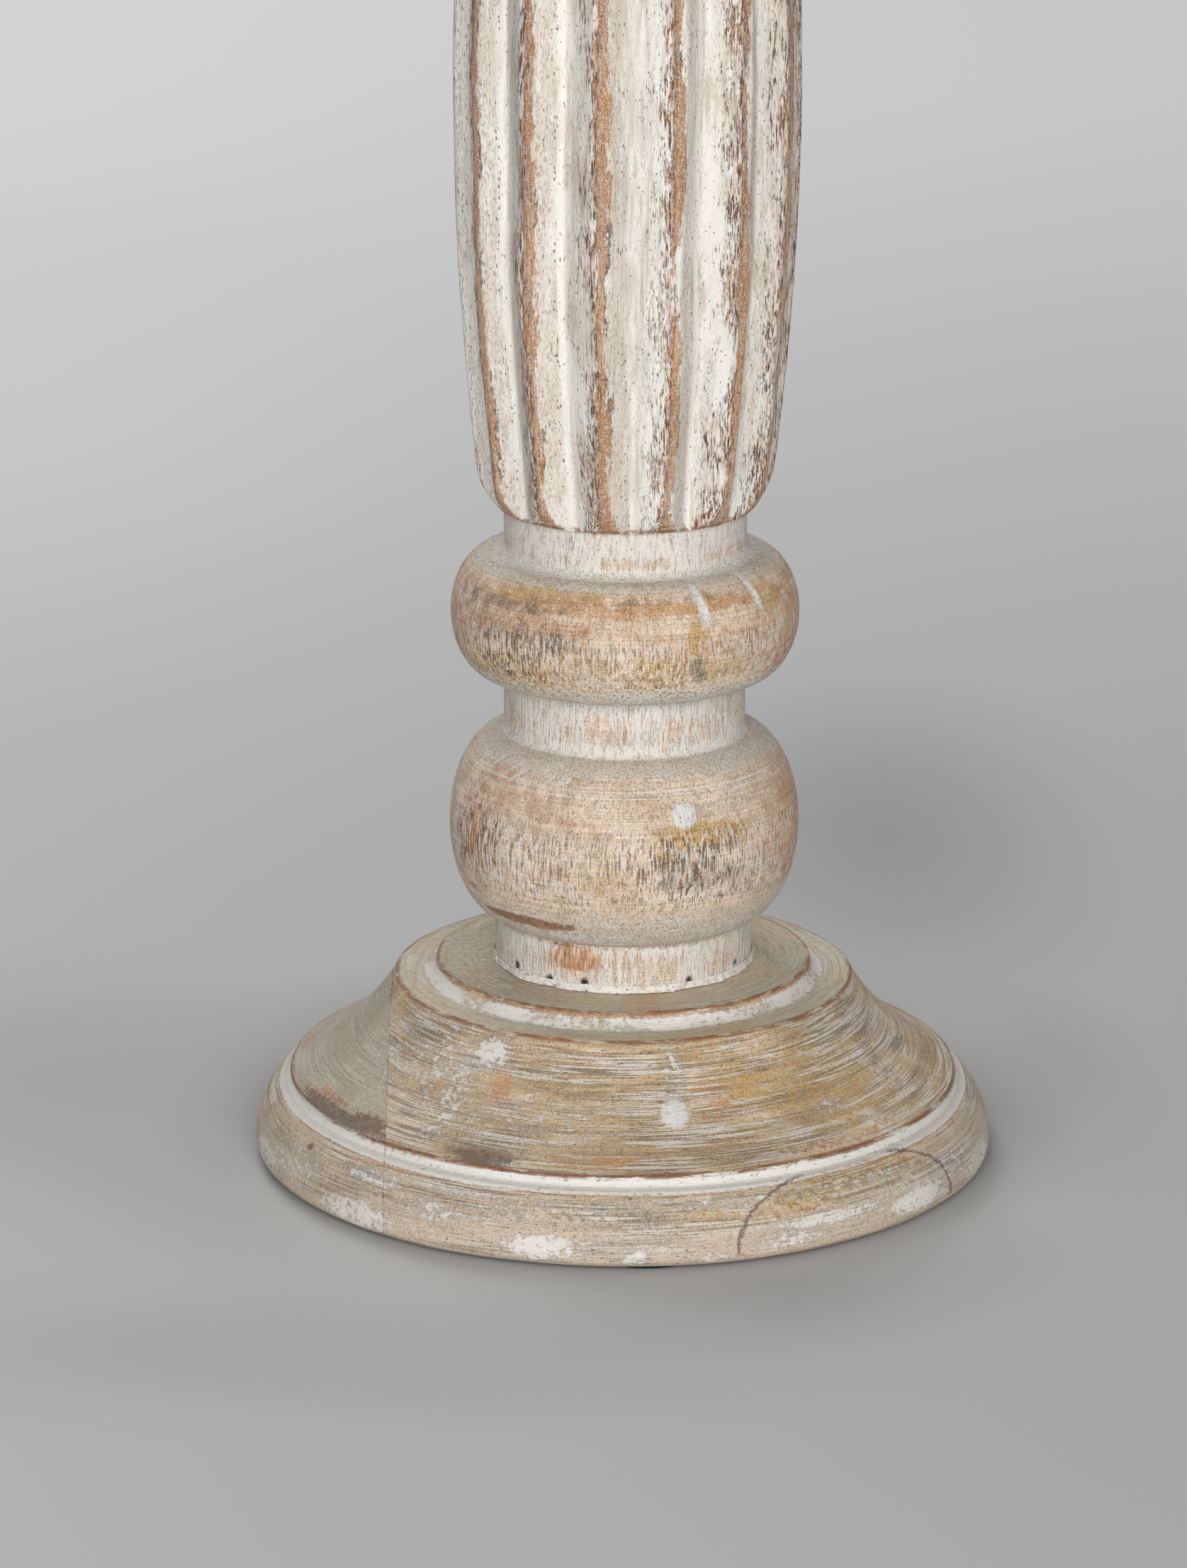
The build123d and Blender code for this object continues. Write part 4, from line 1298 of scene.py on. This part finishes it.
class TurnBaluster(bpy.types.Operator):
    """Turn the ball and the bead with their necks"""

    bl_idname = "candlestick.turn_baluster"
    bl_label = "Lower baluster"

    def execute(self, context):
        s = context.scene.candlestick_baluster
        tenon_foot, top = node_foot("lower_baluster"), node_top("lower_baluster")
        seat = node_top("base_foot")
        ball_foot = seat + s.foot_neck_height
        ball_top = ball_foot + s.ball_height
        bead_foot = ball_top + s.middle_neck_height
        bead_top = bead_foot + s.bead_height
        outline = Outline(0, tenon_foot).lines(
            (s.tenon_radius - MM, tenon_foot), (s.tenon_radius, tenon_foot + MM),
            (s.tenon_radius, seat), (s.foot_neck_radius, seat),
        )
        flared = s.neck_radius + s.neck_flare
        ball_reach = node_radius("lower_baluster") - s.ball_core
        outline.oval(s.ball_core, ball_reach, ball_foot, ball_top, s.foot_neck_radius, flared)
        outline.flare(s.neck_radius, s.neck_flare).line(s.neck_radius, bead_foot + 0.1 * MM)
        bead_reach = s.bead_radius - s.bead_core
        outline.oval(s.bead_core, bead_reach, bead_foot, bead_top, s.neck_radius, flared)
        outline.flare(s.neck_radius, s.neck_flare).lines((s.neck_radius, top), (0, top))
        piece = turn_piece("baluster", scored(outline.spaced(0.5 * MM), s.scoring, 2), steps=384)
        wear_unevenly(piece, (20 * MM, 0.3 * MM), (5 * MM, 0.07 * MM))
        surface = Surface(piece)
        nicks, pits = self.nicks(surface, 0.8), surface.patches(BALUSTER_PITS, 0.6)
        mould(piece, surface.patch(*PUTTY_ON_BALL, 2.7, 2.6, 0.8), 0.4 * MM)
        mould(piece, nicks, -0.25 * MM)
        mould(piece, pits, -0.5 * MM)
        necks = (seat, ball_foot), (ball_top, bead_foot), (bead_top, top)
        self.record(Surface(piece), necks, ball_foot, bead_foot)
        limed_baluster(context.scene.candlestick_colours)
        fit_piece(piece, "limed_wood", "lower_baluster")
        return {"FINISHED"}

    def record(self, surface, necks, ball_foot, bead_foot):
        """Where lime, haze, stains and marks lie on the baluster, with painted light on the
        undersides of the ball and the bead and painted shade in the creases under them.
        """
        height = surface.height
        lumps = surface.ripple((6, 6, 5), 5)
        lime = 0
        for foot, end in necks:
            inside, part = surface.neck(foot, end)
            cover = 0.56 + 0.44 * ease(part, 0.26, 0.0) + 0.12 * ease(part, 0.6, 0.95)
            lime = np.maximum(lime, inside * (cover + 0.05 * lumps))
        bead_top, top = necks[-1]
        upper = ease(height, bead_top + 3 * MM, bead_top + 6 * MM)
        upper *= ease(height, top, top - 0.5 * MM)
        haze = 0
        for foot, end, low, high in (
            (ball_foot, necks[1][0], 13.5, 4.4), (bead_foot, bead_top, 6.6, 1.9),
        ):
            belt = strongest(
                ease(height, foot + low * MM, foot + low * 0.3 * MM),
                ease(height, end - high * MM, end - high * 0.3 * MM),
            )
            haze = np.maximum(haze, belt * ((height > foot) & (height < end)))
        upright = strongest(
            surface.band(ball_foot + 18.5 * MM, 9.5, 5),
            surface.band(bead_foot + 8.5 * MM, 8.0, 4.5),
        )
        # the creases under the ball and the bead take the dark burn colour: a brown line in the
        # corner, deepened as painted shade of the undercut
        crease_shade = strongest(surface.band(bead_foot, 0.7, 0.2), surface.band(ball_foot, 0.7, 0.2))
        surface.record(
            lime=strongest(np.clip(lime + 0.3 * upper, 0, 1.0), surface.patches(BALUSTER_LIME_AND_UNDERSIDE_LIGHT)),
            haze=np.clip(haze * (1 + 0.25 * lumps), 0, 1),
            ochre=surface.patches(BALUSTER_OCHRE, 1.5),
            smoke=surface.patches(BALUSTER_SMOKE, 1.3),
            rust=surface.patches(BALUSTER_RUST, 1.5),
            burn=strongest(surface.patches(BALUSTER_BURN), (0.42 + 0.15 * lumps) * crease_shade),
            pores=surface.patches(BALUSTER_PORES, 1.1),
            upright=np.clip(upright * (0.85 + 0.25 * lumps), 0, 1),
            putty=strongest(
                surface.patch(*PUTTY_ON_BALL, 2.6, 2.5, 0.3), self.nicks(surface, 0.5)
            ),
            pits=surface.patches(BALUSTER_PITS, 0.6),
            scratched=surface.patch(-44, 86, 13, 2.0, 1.0),
        )

    def nicks(self, surface, soft):
        """Two slanting nicks in the top of the bead."""
        return strongest(*(
            surface.patch(
                angle + NICK_LEAN * (level - surface.height / MM), level, wide, tall, soft
            )
            for angle, level, wide, tall in BEAD_NICKS
        ))


class PackFiller(bpy.types.Operator):
    """Press the white filler into the corner between the base and its neck"""

    bl_idname = "candlestick.pack_filler"
    bl_label = "Joint filler"

    def execute(self, context):
        low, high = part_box("joint_filler")
        bore = context.scene.candlestick_baluster.foot_neck_radius + 0.02 * MM
        outline = Outline(bore, high.z)
        outline.lines((bore, low.z), (high.x, low.z), (high.x, low.z + 0.2 * MM, 0.1 * MM))
        outline.bow(bore + 0.3 * MM, high.z, 0.25 * MM, soft=0.1 * MM).line(bore, high.z)
        piece = turn_piece("filler", outline.spaced(0.25 * MM), steps=420)
        surface = Surface(piece)
        thumbed = 0.3 + 0.16 * surface.ripple((4, 4, 40), 2) + 0.09 * surface.ripple((1, 1, 1), 3)
        thumbed = np.clip(thumbed, 0.08, 0.6)
        surface.points[:, 2] = low.z + (surface.points[:, 2] - low.z) * (0.5 + 0.5 * thumbed)
        surface.move(bore + (surface.radius - bore) * thumbed)
        rough_filler(context.scene.candlestick_colours)
        fit_piece(piece, "white_filler", "joint_filler", angle=60)
        return {"FINISHED"}


# crest number, height, half height, and how much broader than usual the bare wood is, in mm
CREST_WEAR = (
    (0, 224, 26, 0.7), (0, 165, 34, 0.5), (1, 234, 10, -0.4), (1, 214, 12, 0.7), (1, 187, 8, -1.0),
    (1, 170, 12, 0.3), (2, 222, 26, -0.5), (2, 168, 28, 1.3), (-1, 190, 60, 0.6),
    (-2, 190, 60, 0.8), (-3, 190, 60, -0.3), (3, 190, 60, 0.5), (4, 200, 60, 1.2),
)


class CarveShaft(bpy.types.Operator):
    """Turn the swelling shaft and carve its flutes"""

    bl_idname = "candlestick.carve_shaft"
    bl_label = "Fluted shaft"

    def execute(self, context):
        s = context.scene.candlestick_shaft
        foot, top = node_foot("fluted_shaft"), node_top("fluted_shaft")
        low, high = foot + s.shoulder_height, top - s.shoulder_height
        rise = s.middle_radius - s.shoulder_radius
        lean = 2 * math.atan2(rise, (high - low) / 2)
        chord = math.hypot(s.shoulder_radius - s.end_radius, s.shoulder_height)
        steep = math.atan2(s.shoulder_radius - s.end_radius, s.shoulder_height)
        bulge = chord / 2 * math.tan((steep - lean) / 2)
        outline = Outline(0, foot).line(s.end_radius, foot, soft=0.3 * MM)
        outline.bow(s.shoulder_radius, low, -bulge)
        outline.bow(s.shoulder_radius, high, -rise)
        outline.bow(s.end_radius, top, -bulge, soft=0.3 * MM).line(0, top)
        piece = turn_piece("shaft", outline.spaced(0.64 * MM), steps=24 * s.flute_count)
        self.carve(Surface(piece), s, foot, top)
        wear_unevenly(piece, (14 * MM, 0.2 * MM), (3.5 * MM, 0.07 * MM))
        fluted_paint(context.scene.candlestick_colours)
        fit_piece(piece, "worn_white_paint", "fluted_shaft", angle=50)
        return {"FINISHED"}

    def carve(self, surface, s, foot, top):
        """Pull the turned surface in to the flutes, and record where the crests run."""
        side = surface.radius > s.end_radius * 0.98
        pitch = 360 / s.flute_count
        wander = np.degrees(s.wander / s.middle_radius) * surface.ripple((14, 14, 34), 11)
        share = ((surface.angle + wander - s.first_crest) / pitch) % 1.0
        arc = np.radians(pitch) * surface.radius
        across = np.where(share < 0.5, share, share - 1.0) * arc / MM
        share = np.interp(share, (0, s.flute_place, 1), (0, 0.5, 1))
        turn = np.radians((share - 0.5) * pitch)
        middle = (foot + top) / 2
        groove_middle = s.middle_radius - s.flute_depth
        drop = groove_middle - (s.end_radius - s.flute_end_depth)
        swing = ((top - foot) ** 2 / 4 + drop**2) / (2 * drop)
        bottom = groove_middle - swing + np.sqrt(swing**2 - (surface.height - middle) ** 2)
        bottom = bottom + 0.25 * MM * surface.ripple((9, 9, 18), 12)
        wall = math.radians(s.flute_angle / 2)
        nose = s.flute_nose
        tip = bottom - nose * (1 / math.sin(wall) - 1)
        straight = tip / (np.cos(turn) - np.abs(np.sin(turn)) / math.tan(wall))
        centre = bottom + nose
        round_nose = centre * np.cos(turn) - np.sqrt(
            np.maximum(nose**2 - (centre * np.sin(turn)) ** 2, 0)
        )
        off = np.abs(straight * np.sin(turn))
        carved = np.where(off < nose * math.cos(wall), round_nose, straight)
        # the flat ends shrink with the carved edge
        ends = surface.radius * np.minimum(carved / s.end_radius, 1.0)
        surface.move(np.where(side, np.minimum(surface.radius, carved), ends))
        surface.record_turning("across", across, arc / MM)
        broad = 0.3 * surface.ripple((9, 9, 22), 33)
        for crest, level, tall, amount in CREST_WEAR:
            broad += amount * surface.patch(s.first_crest + pitch * crest, level, 8, tall, 1.2)
        aged = 0.85 * surface.band(228 * MM, 48, 22) + 0.4 * surface.ripple((10, 10, 26), 31)
        surface.record(
            end_gap=np.minimum(surface.height - foot, top - surface.height) / MM,
            aged=np.clip(aged, 0, 1),
            broad=broad,
            clean=surface.patches((
                (s.first_crest - 3 * pitch, 200, 15, 70, 1, 0.8), (11.4, 210, 4.5, 80, 0.75, 0.9),
            )),
            dull=0.95 * surface.patch(1.2, 215, 3.6, 75, 0.7),
            tanned=0.8 * surface.patch(78, 215, 9, 80, 1.0),
        )


COLLAR_OCHRE = (
    (20, 320, 16, 5, 0.6, 1.4), (-110, 322, 22, 7, 0.5, 1.5), (150, 318, 18, 6, 0.5, 1.5),
)
COLLAR_RUST = ((60, 324, 18, 6, 0.55), (-50, 325, 18, 4, 0.55))
DISH_LIME = (
    (20, 352, 6, 3, 0.7), (-60, 350, 5, 3, 0.7), (130, 352, 8, 3, 0.7), (-150, 361, 9, 3, 0.7),
    (60, 361, 9, 2.5, 0.7), (-20, 358, 14, 3, 0.5), (-110, 353, 16, 4, 0.5), (95, 356, 16, 5, 0.45),
)
DISH_OCHRE = ((35, 361, 18, 4, 0.6, 1.4), (-140, 352, 24, 6, 0.5, 1.5))
DISH_SMOKE = ((-70, 362, 10, 3, 0.6, 1.2), (170, 352, 9, 4, 0.5, 1.3))
DISH_RUST = ((-20, 351, 4, 5, 0.6, 1.2), (100, 361, 16, 3, 0.5, 1.4))


class TurnTop(bpy.types.Operator):
    """Turn the upper collar and the drip dish"""

    bl_idname = "candlestick.turn_top"
    bl_label = "Collar and dish"

    def execute(self, context):
        s, neck = context.scene.candlestick_top, context.scene.candlestick_baluster
        foot, top = node_foot("drip_dish"), node_top("drip_dish")
        self.turn_collar(s, neck, foot)
        self.turn_dish(s, neck, foot, top)
        return {"FINISHED"}

    def turn_collar(self, s, neck, dish_foot):
        foot, tenon_top = node_foot("upper_collar"), node_top("upper_collar")
        bead_foot = foot + s.neck_height
        bead_top = bead_foot + s.bead_height
        outline = Outline(0, foot).line(neck.neck_radius + neck.neck_flare, foot)
        outline.flare(neck.neck_radius, neck.neck_flare)
        outline.line(neck.neck_radius, bead_foot + 0.1 * MM)
        outline.oval(
            s.bead_core, node_radius("upper_collar") - s.bead_core, bead_foot, bead_top,
            neck.neck_radius, s.dish_neck_radius + neck.neck_flare,
        )
        outline.flare(s.dish_neck_radius, neck.neck_flare).lines(
            (s.dish_neck_radius, dish_foot), (DISH_TENON, dish_foot), (DISH_TENON, tenon_top - MM),
            (DISH_TENON - MM, tenon_top), (0, tenon_top),
        )
        piece = turn_piece("collar", scored(outline.spaced(0.6 * MM), neck.scoring, 3), steps=320)
        wear_unevenly(piece, (20 * MM, 0.3 * MM))
        surface = Surface(piece)
        lime = 0
        for low, high in ((foot, bead_foot), (bead_top, dish_foot)):
            inside, part = surface.neck(low, high)
            lime = np.maximum(lime, inside * (0.55 + 0.45 * ease(part, 0.3, 0.0)))
        middle = (bead_foot + bead_top) / 2
        surface.record(
            lime=lime,
            haze=ease(np.abs(surface.height - middle), 7 * MM, 10.5 * MM) * (lime < 0.1),
            ochre=surface.patches(COLLAR_OCHRE),
            smoke=0.6 * surface.patch(-30, 322, 5, 6, 1.2),
            pores=surface.patch(-30, 322, 14, 8, 1.2),
            upright=surface.band(middle, 8.5, 4.5),
            rust=surface.patches(COLLAR_RUST, 1.5),
        )
        fit_piece(piece, "limed_wood", "upper_collar")

    def turn_dish(self, s, neck, foot, top):
        floor = top - s.recess_depth
        cove_foot = foot + s.seat_height
        cove_top = cove_foot + s.cove_height
        rim_foot = cove_top + s.fillet_height
        rim_radius = s.recess_radius + s.rim_width
        socket = DISH_TENON + TENON_PLAY
        outline = Outline(SPIKE_BORE, floor).lines(
            (SPIKE_BORE, foot + DISH_SOCKET), (socket, foot + DISH_SOCKET), (socket, foot),
            (s.seat_radius, foot, 0.5 * MM), (s.seat_radius, cove_foot, 0.5 * MM),
            (s.cove_foot_radius, cove_foot, 0.3 * MM),
        )
        outline.bow(s.cove_radius, cove_top, s.cove_hollow, soft=0.3 * MM)
        outline.lines(
            (s.cove_radius, rim_foot, 0.2 * MM),
            (s.cove_radius + s.fillet_depth, rim_foot, 0.4 * MM),
        )
        outline.bow(rim_radius, top, -s.rim_bulge, soft=0.8 * MM)
        outline.lines((s.recess_radius, top, 0.8 * MM), (s.recess_radius, floor + s.floor_fillet))
        outline.bow(s.recess_radius - s.floor_fillet, floor, -QUARTER_BOW * s.floor_fillet)
        outline.line(SPIKE_BORE, floor)
        piece = turn_piece("dish", scored(outline.spaced(0.75 * MM), neck.scoring, 4), steps=400)
        wear_unevenly(piece, (20 * MM, 0.25 * MM))
        surface = Surface(piece)
        surface.record(
            lime=strongest(
                surface.ring(s.cove_radius + 0.5 * MM, rim_foot - 1.0 * MM, 2.6, 1.5),
                surface.ring(s.cove_foot_radius, cove_foot + 0.5 * MM, 3, 1.5),
                0.8 * surface.ring(s.recess_radius, floor, 4.5, 2), surface.patches(DISH_LIME),
            ),
            haze=strongest(
                0.8 * ease(surface.height, top - 0.5 * MM, top - 0.1 * MM),
                0.6 * (np.abs(surface.height - floor) < 0.4 * MM),
            ),
            ochre=surface.patches(DISH_OCHRE),
            smoke=surface.patches(DISH_SMOKE),
            rust=surface.patches(DISH_RUST),
            worn=strongest(
                surface.ring(s.cove_radius + s.fillet_depth, rim_foot, 1.3, 0.4),
                surface.ring(s.seat_radius, cove_foot, 1.3, 0.4),
                surface.ring(rim_radius - 0.4 * MM, top - 0.3 * MM, 1.3, 0.4),
                surface.ring(s.recess_radius, top, 1.3, 0.4),
            ),
        )
        fit_piece(piece, "limed_base_wood", "drip_dish")


class ForgePricket(bpy.types.Operator):
    """Forge the pricket's plate and spike"""

    bl_idname = "candlestick.forge_pricket"
    bl_label = "Pricket"

    def execute(self, context):
        s = context.scene.candlestick_iron
        iron = blackened_iron()
        low, top = node_foot("pricket_plate"), node_top("pricket_plate")
        radius = node_radius("pricket_plate")
        bore = s.spike_radius + 0.05 * MM
        seat = bore + s.braze
        outline = Outline(seat, top).lines(
            (bore, top - s.braze), (bore, low), (radius, low, 0.3 * MM),
            (radius, top, s.plate_bevel), (seat, top),
        )
        plate = turn_piece("pricket_disc", outline.spaced(0.6 * MM), steps=200)
        wear_unevenly(plate, (s.hammer_size, s.hammer_depth))
        self.drill(plate, s, low, top)
        foot, tip = node_foot("pricket_spike"), node_top("pricket_spike")
        outline = Outline(0, foot).lines(
            (s.spike_radius - 0.5 * MM, foot), (s.spike_radius, foot + 0.5 * MM),
            (s.spike_radius, top - s.braze),
            (s.spike_radius + s.braze - 0.05 * MM, top - 0.05 * MM, 0.2 * MM),
            (s.spike_radius, top - 0.02 * MM, 0.2 * MM),
            (s.spike_radius, tip - s.point_length, 2.0 * MM), (s.tip_radius, tip - s.tip_radius),
        )
        outline.bow(0, tip, -QUARTER_BOW * s.tip_radius)
        spike = turn_piece("pricket_point", outline.spaced(0.4 * MM), steps=96)
        wear_unevenly(spike, (3.0 * MM, s.hammer_depth))
        fit_piece(plate, "black_iron", "pricket_plate", angle=40)
        fit_piece(spike, "black_iron", "pricket_spike", angle=40)
        paint_piece(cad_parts["plate_screws"], iron)
        return {"FINISHED"}

    def drill(self, plate, s, low, top):
        """Sink three holes in the plate for its screws."""
        shank, head = s.screw_radius + 0.05 * MM, s.screw_head + 0.12 * MM
        over = 0.5 * MM
        drill = turn_piece("drill", [
            (0, low - over), (shank, low - over), (shank, top - (head - shank)),
            (head + over, top + over), (0, top + over),
        ], steps=40)
        bpy.ops.transform.translate(value=(0, -s.screw_ring, 0))
        bpy.ops.object.transform_apply(location=True)
        copies = []
        for turn in (120, 240):
            copies.append(copy_piece(drill))
            copies[-1].rotation_euler.z = math.radians(turn)
            bpy.ops.object.transform_apply(rotation=True)
        for tool in (*copies, drill):
            use_modifier(plate, "BOOLEAN", operation="DIFFERENCE", object=tool, solver="EXACT")
            bpy.data.objects.remove(tool)


class FitFastenings(bpy.types.Operator):
    """Finish the felt pads, the lag screw with its washer and the dowels"""

    bl_idname = "candlestick.fit_fastenings"
    bl_label = "Pads and fastenings"

    def execute(self, context):
        steel, dowel = zinc(), bare_dowel(context.scene.candlestick_colours)
        for node, finish in (
            ("base_screw", steel), ("base_washer", steel), ("lower_dowel", dowel),
            ("upper_dowel", dowel), ("felt_pads", dark_felt()),
        ):
            paint_piece(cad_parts[node], finish)
        return {"FINISHED"}


class SetStage(bpy.types.Operator):
    """Set the floor, the two soft lamps and the camera"""

    bl_idname = "candlestick.set_stage"
    bl_label = "Stage"
    backdrop = (0.62, 0.62, 0.623)
    floor_pale, floor_dim, floor_shade = (0.6, 0.6, 0.594), (0.56, 0.56, 0.553), (0.44, 0.44, 0.434)
    shadow_reach = 80.0, 135.0  # the floor shows the lamps' own shadows up to here, in mm
    back_lamp = (-0.5, 1.3, 1.5)
    front_lamp_back = -1.5
    lamps_aim = (0, 0, 0.2)
    film_width = 36  # in mm

    def execute(self, context):
        s = context.scene.candlestick_stage
        self.lay_floor(s)
        self.light(context, s)
        self.camera(context, s)
        context.scene.view_settings.view_transform = "Standard"
        return {"FINISHED"}

    def lay_floor(self, s):
        """Wide pale floor, whose far part keeps its paleness away from the lamp."""
        select_only()
        bpy.ops.mesh.primitive_circle_add(vertices=96, radius=s.floor_radius, fill_type="NGON")
        floor = bpy.context.object
        floor.name = "floor"
        f = Finish("pale_floor", roughness=0.9)
        f.shader.inputs["Specular IOR Level"].default_value = 0.1
        grey = f.noise((400, 400, 400), detail=2)
        ground = f.ramp(grey, (0.3, self.floor_dim), (0.7, self.floor_pale))
        # painted contact shadow on the floor close to both sides of the base
        for x, amount in ((72, 0.9), (-72, 0.5)):
            near = self.lobe(f, x, 16, 30, 62)
            ground = f.mix(ground, self.floor_shade, near * amount)
        f.done(ground)
        away = f.distance(f.x, f.y)
        tone = grey * 0.02 + f.ease(away, 0.0, 1300.0, 0.385, 0.6)
        # painted light: the far floor paler to the left and darker to the right
        tone = tone + f.ease(f.x, -300.0, 300.0, 0.05, -0.05)
        # painted shadow beside and behind the piece, a painted pool of light far left, and a
        # painted shade band in front
        for x, y, wide, deep, depth in (
            (60, 222, 72, 168, -0.1), (88, 40, 30, 75, -0.07), (-120, 40, 100, 100, -0.06),
            (-170, 560, 190, 330, 0.035), (-60, -115, 150, 50, -0.045),
        ):
            tone = tone + self.lobe(f, x, y, wide, deep) * depth
        pale = f.add("CombineColor", {0: tone, 1: tone, 2: tone * 1.005})
        glow = f.add("Emission", {"Color": pale, "Strength": 1.0})
        shown = self.seen(f.tree) * f.ease(away, *self.shadow_reach)
        both = f.add("MixShader", {0: shown, 1: f.shader.outputs[0], 2: glow})
        f.link(f.tree.nodes["Material Output"].inputs["Surface"], both)
        paint_piece(floor, f.material)

    def lobe(self, f, x, y, wide, deep):
        """1 in the middle of a soft oval on the floor, and 0 outside it, in mm."""
        away = f.distance((f.x - x) * (1 / wide), (f.y - y) * (1 / deep))
        return f.ease(away, 1.0, 0.0)

    def seen(self, tree):
        """1 on rays from the camera, a mirror or glass, and 0 on rays that light the piece."""
        path = tree.nodes.new("ShaderNodeLightPath")
        result = path.outputs["Is Camera Ray"]
        for name in ("Is Glossy Ray", "Is Transmission Ray"):
            node = tree.nodes.new("ShaderNodeMath")
            node.operation = "MAXIMUM"
            tree.links.new(result, node.inputs[0])
            tree.links.new(path.outputs[name], node.inputs[1])
            result = node.outputs[0]
        return result

    def light(self, context, s):
        for name, power, place in (
            ("soft_front", s.key_power, (s.key_side, self.front_lamp_back, s.key_rise)),
            ("soft_back", s.back_power, self.back_lamp),
        ):
            lamp = bpy.data.lights.new(name, "AREA")
            lamp.energy = power
            lamp.size = s.key_size
            soft = bpy.data.objects.new(name, lamp)
            context.scene.collection.objects.link(soft)
            soft.location = place
            aim = Vector(self.lamps_aim) - soft.location
            soft.rotation_euler = aim.to_track_quat("-Z", "Y").to_euler()
            soft.visible_camera = False
        world = bpy.data.worlds.new("studio")
        world.use_nodes = True
        tree = world.node_tree
        background = tree.nodes["Background"]
        pale = tree.nodes.new("ShaderNodeMix")
        pale.data_type = "RGBA"
        tree.links.new(self.seen(tree), pale.inputs[0])
        pale.inputs[6].default_value = (s.ambient, s.ambient, s.ambient, 1)
        pale.inputs[7].default_value = (*self.backdrop, 1)
        tree.links.new(pale.outputs[2], background.inputs[0])
        context.scene.world = world

    def camera(self, context, s):
        pitch, yaw, roll = (
            math.radians(angle) for angle in (s.camera_pitch, s.camera_yaw, s.camera_roll)
        )
        turn = Matrix.Rotation(yaw, 3, "Z")
        forward = turn @ Vector((0, math.cos(pitch), -math.sin(pitch)))
        right = turn @ Vector((1, 0, 0))
        up = right.cross(forward)
        level = right.copy()
        right = math.cos(roll) * level + math.sin(roll) * up
        up = -math.sin(roll) * level + math.cos(roll) * up
        lens = bpy.data.cameras.new("camera")
        lens.lens = s.lens
        lens.sensor_width = self.film_width
        camera = bpy.data.objects.new("camera", lens)
        context.scene.collection.objects.link(camera)
        camera.matrix_world = Matrix((
            (right.x, up.x, -forward.x, 0),
            (right.y, up.y, -forward.y, -s.camera_distance),
            (right.z, up.z, -forward.z, s.camera_height),
            (0, 0, 0, 1),
        ))
        context.scene.camera = camera


OPERATORS = (
    TurnBase, TurnBaluster, PackFiller, CarveShaft, TurnTop, ForgePricket, FitFastenings, SetStage,
)


class CandlestickPanel(bpy.types.Panel):
    """The candlestick's pieces and settings in the sidebar"""

    bl_idname = "VIEW3D_PT_candlestick"
    bl_label = "Candlestick"
    bl_space_type = "VIEW_3D"
    bl_region_type = "UI"
    bl_category = "Candlestick"

    def draw(self, context):
        for operator in OPERATORS:
            self.layout.operator(operator.bl_idname)
        for name, group in SETTINGS.items():
            box = self.layout.box()
            box.label(text=group.__doc__.rstrip("."))
            for prop in group.__annotations__:
                box.prop(getattr(context.scene, name), prop)


def register():
    for group in SETTINGS.values():
        bpy.utils.register_class(group)
    for operator in OPERATORS:
        bpy.utils.register_class(operator)
    bpy.utils.register_class(CandlestickPanel)
    for name, group in SETTINGS.items():
        setattr(bpy.types.Scene, name, PointerProperty(type=group))


def unregister():
    for name in SETTINGS:
        delattr(bpy.types.Scene, name)
    bpy.utils.unregister_class(CandlestickPanel)
    for operator in reversed(OPERATORS):
        bpy.utils.unregister_class(operator)
    for group in SETTINGS.values():
        bpy.utils.unregister_class(group)


def main():
    """Make every piece in order."""
    register()
    for operator in OPERATORS:
        group, name = operator.bl_idname.split(".")
        getattr(getattr(bpy.ops, group), name)()


if __name__ == "__main__":
    main()
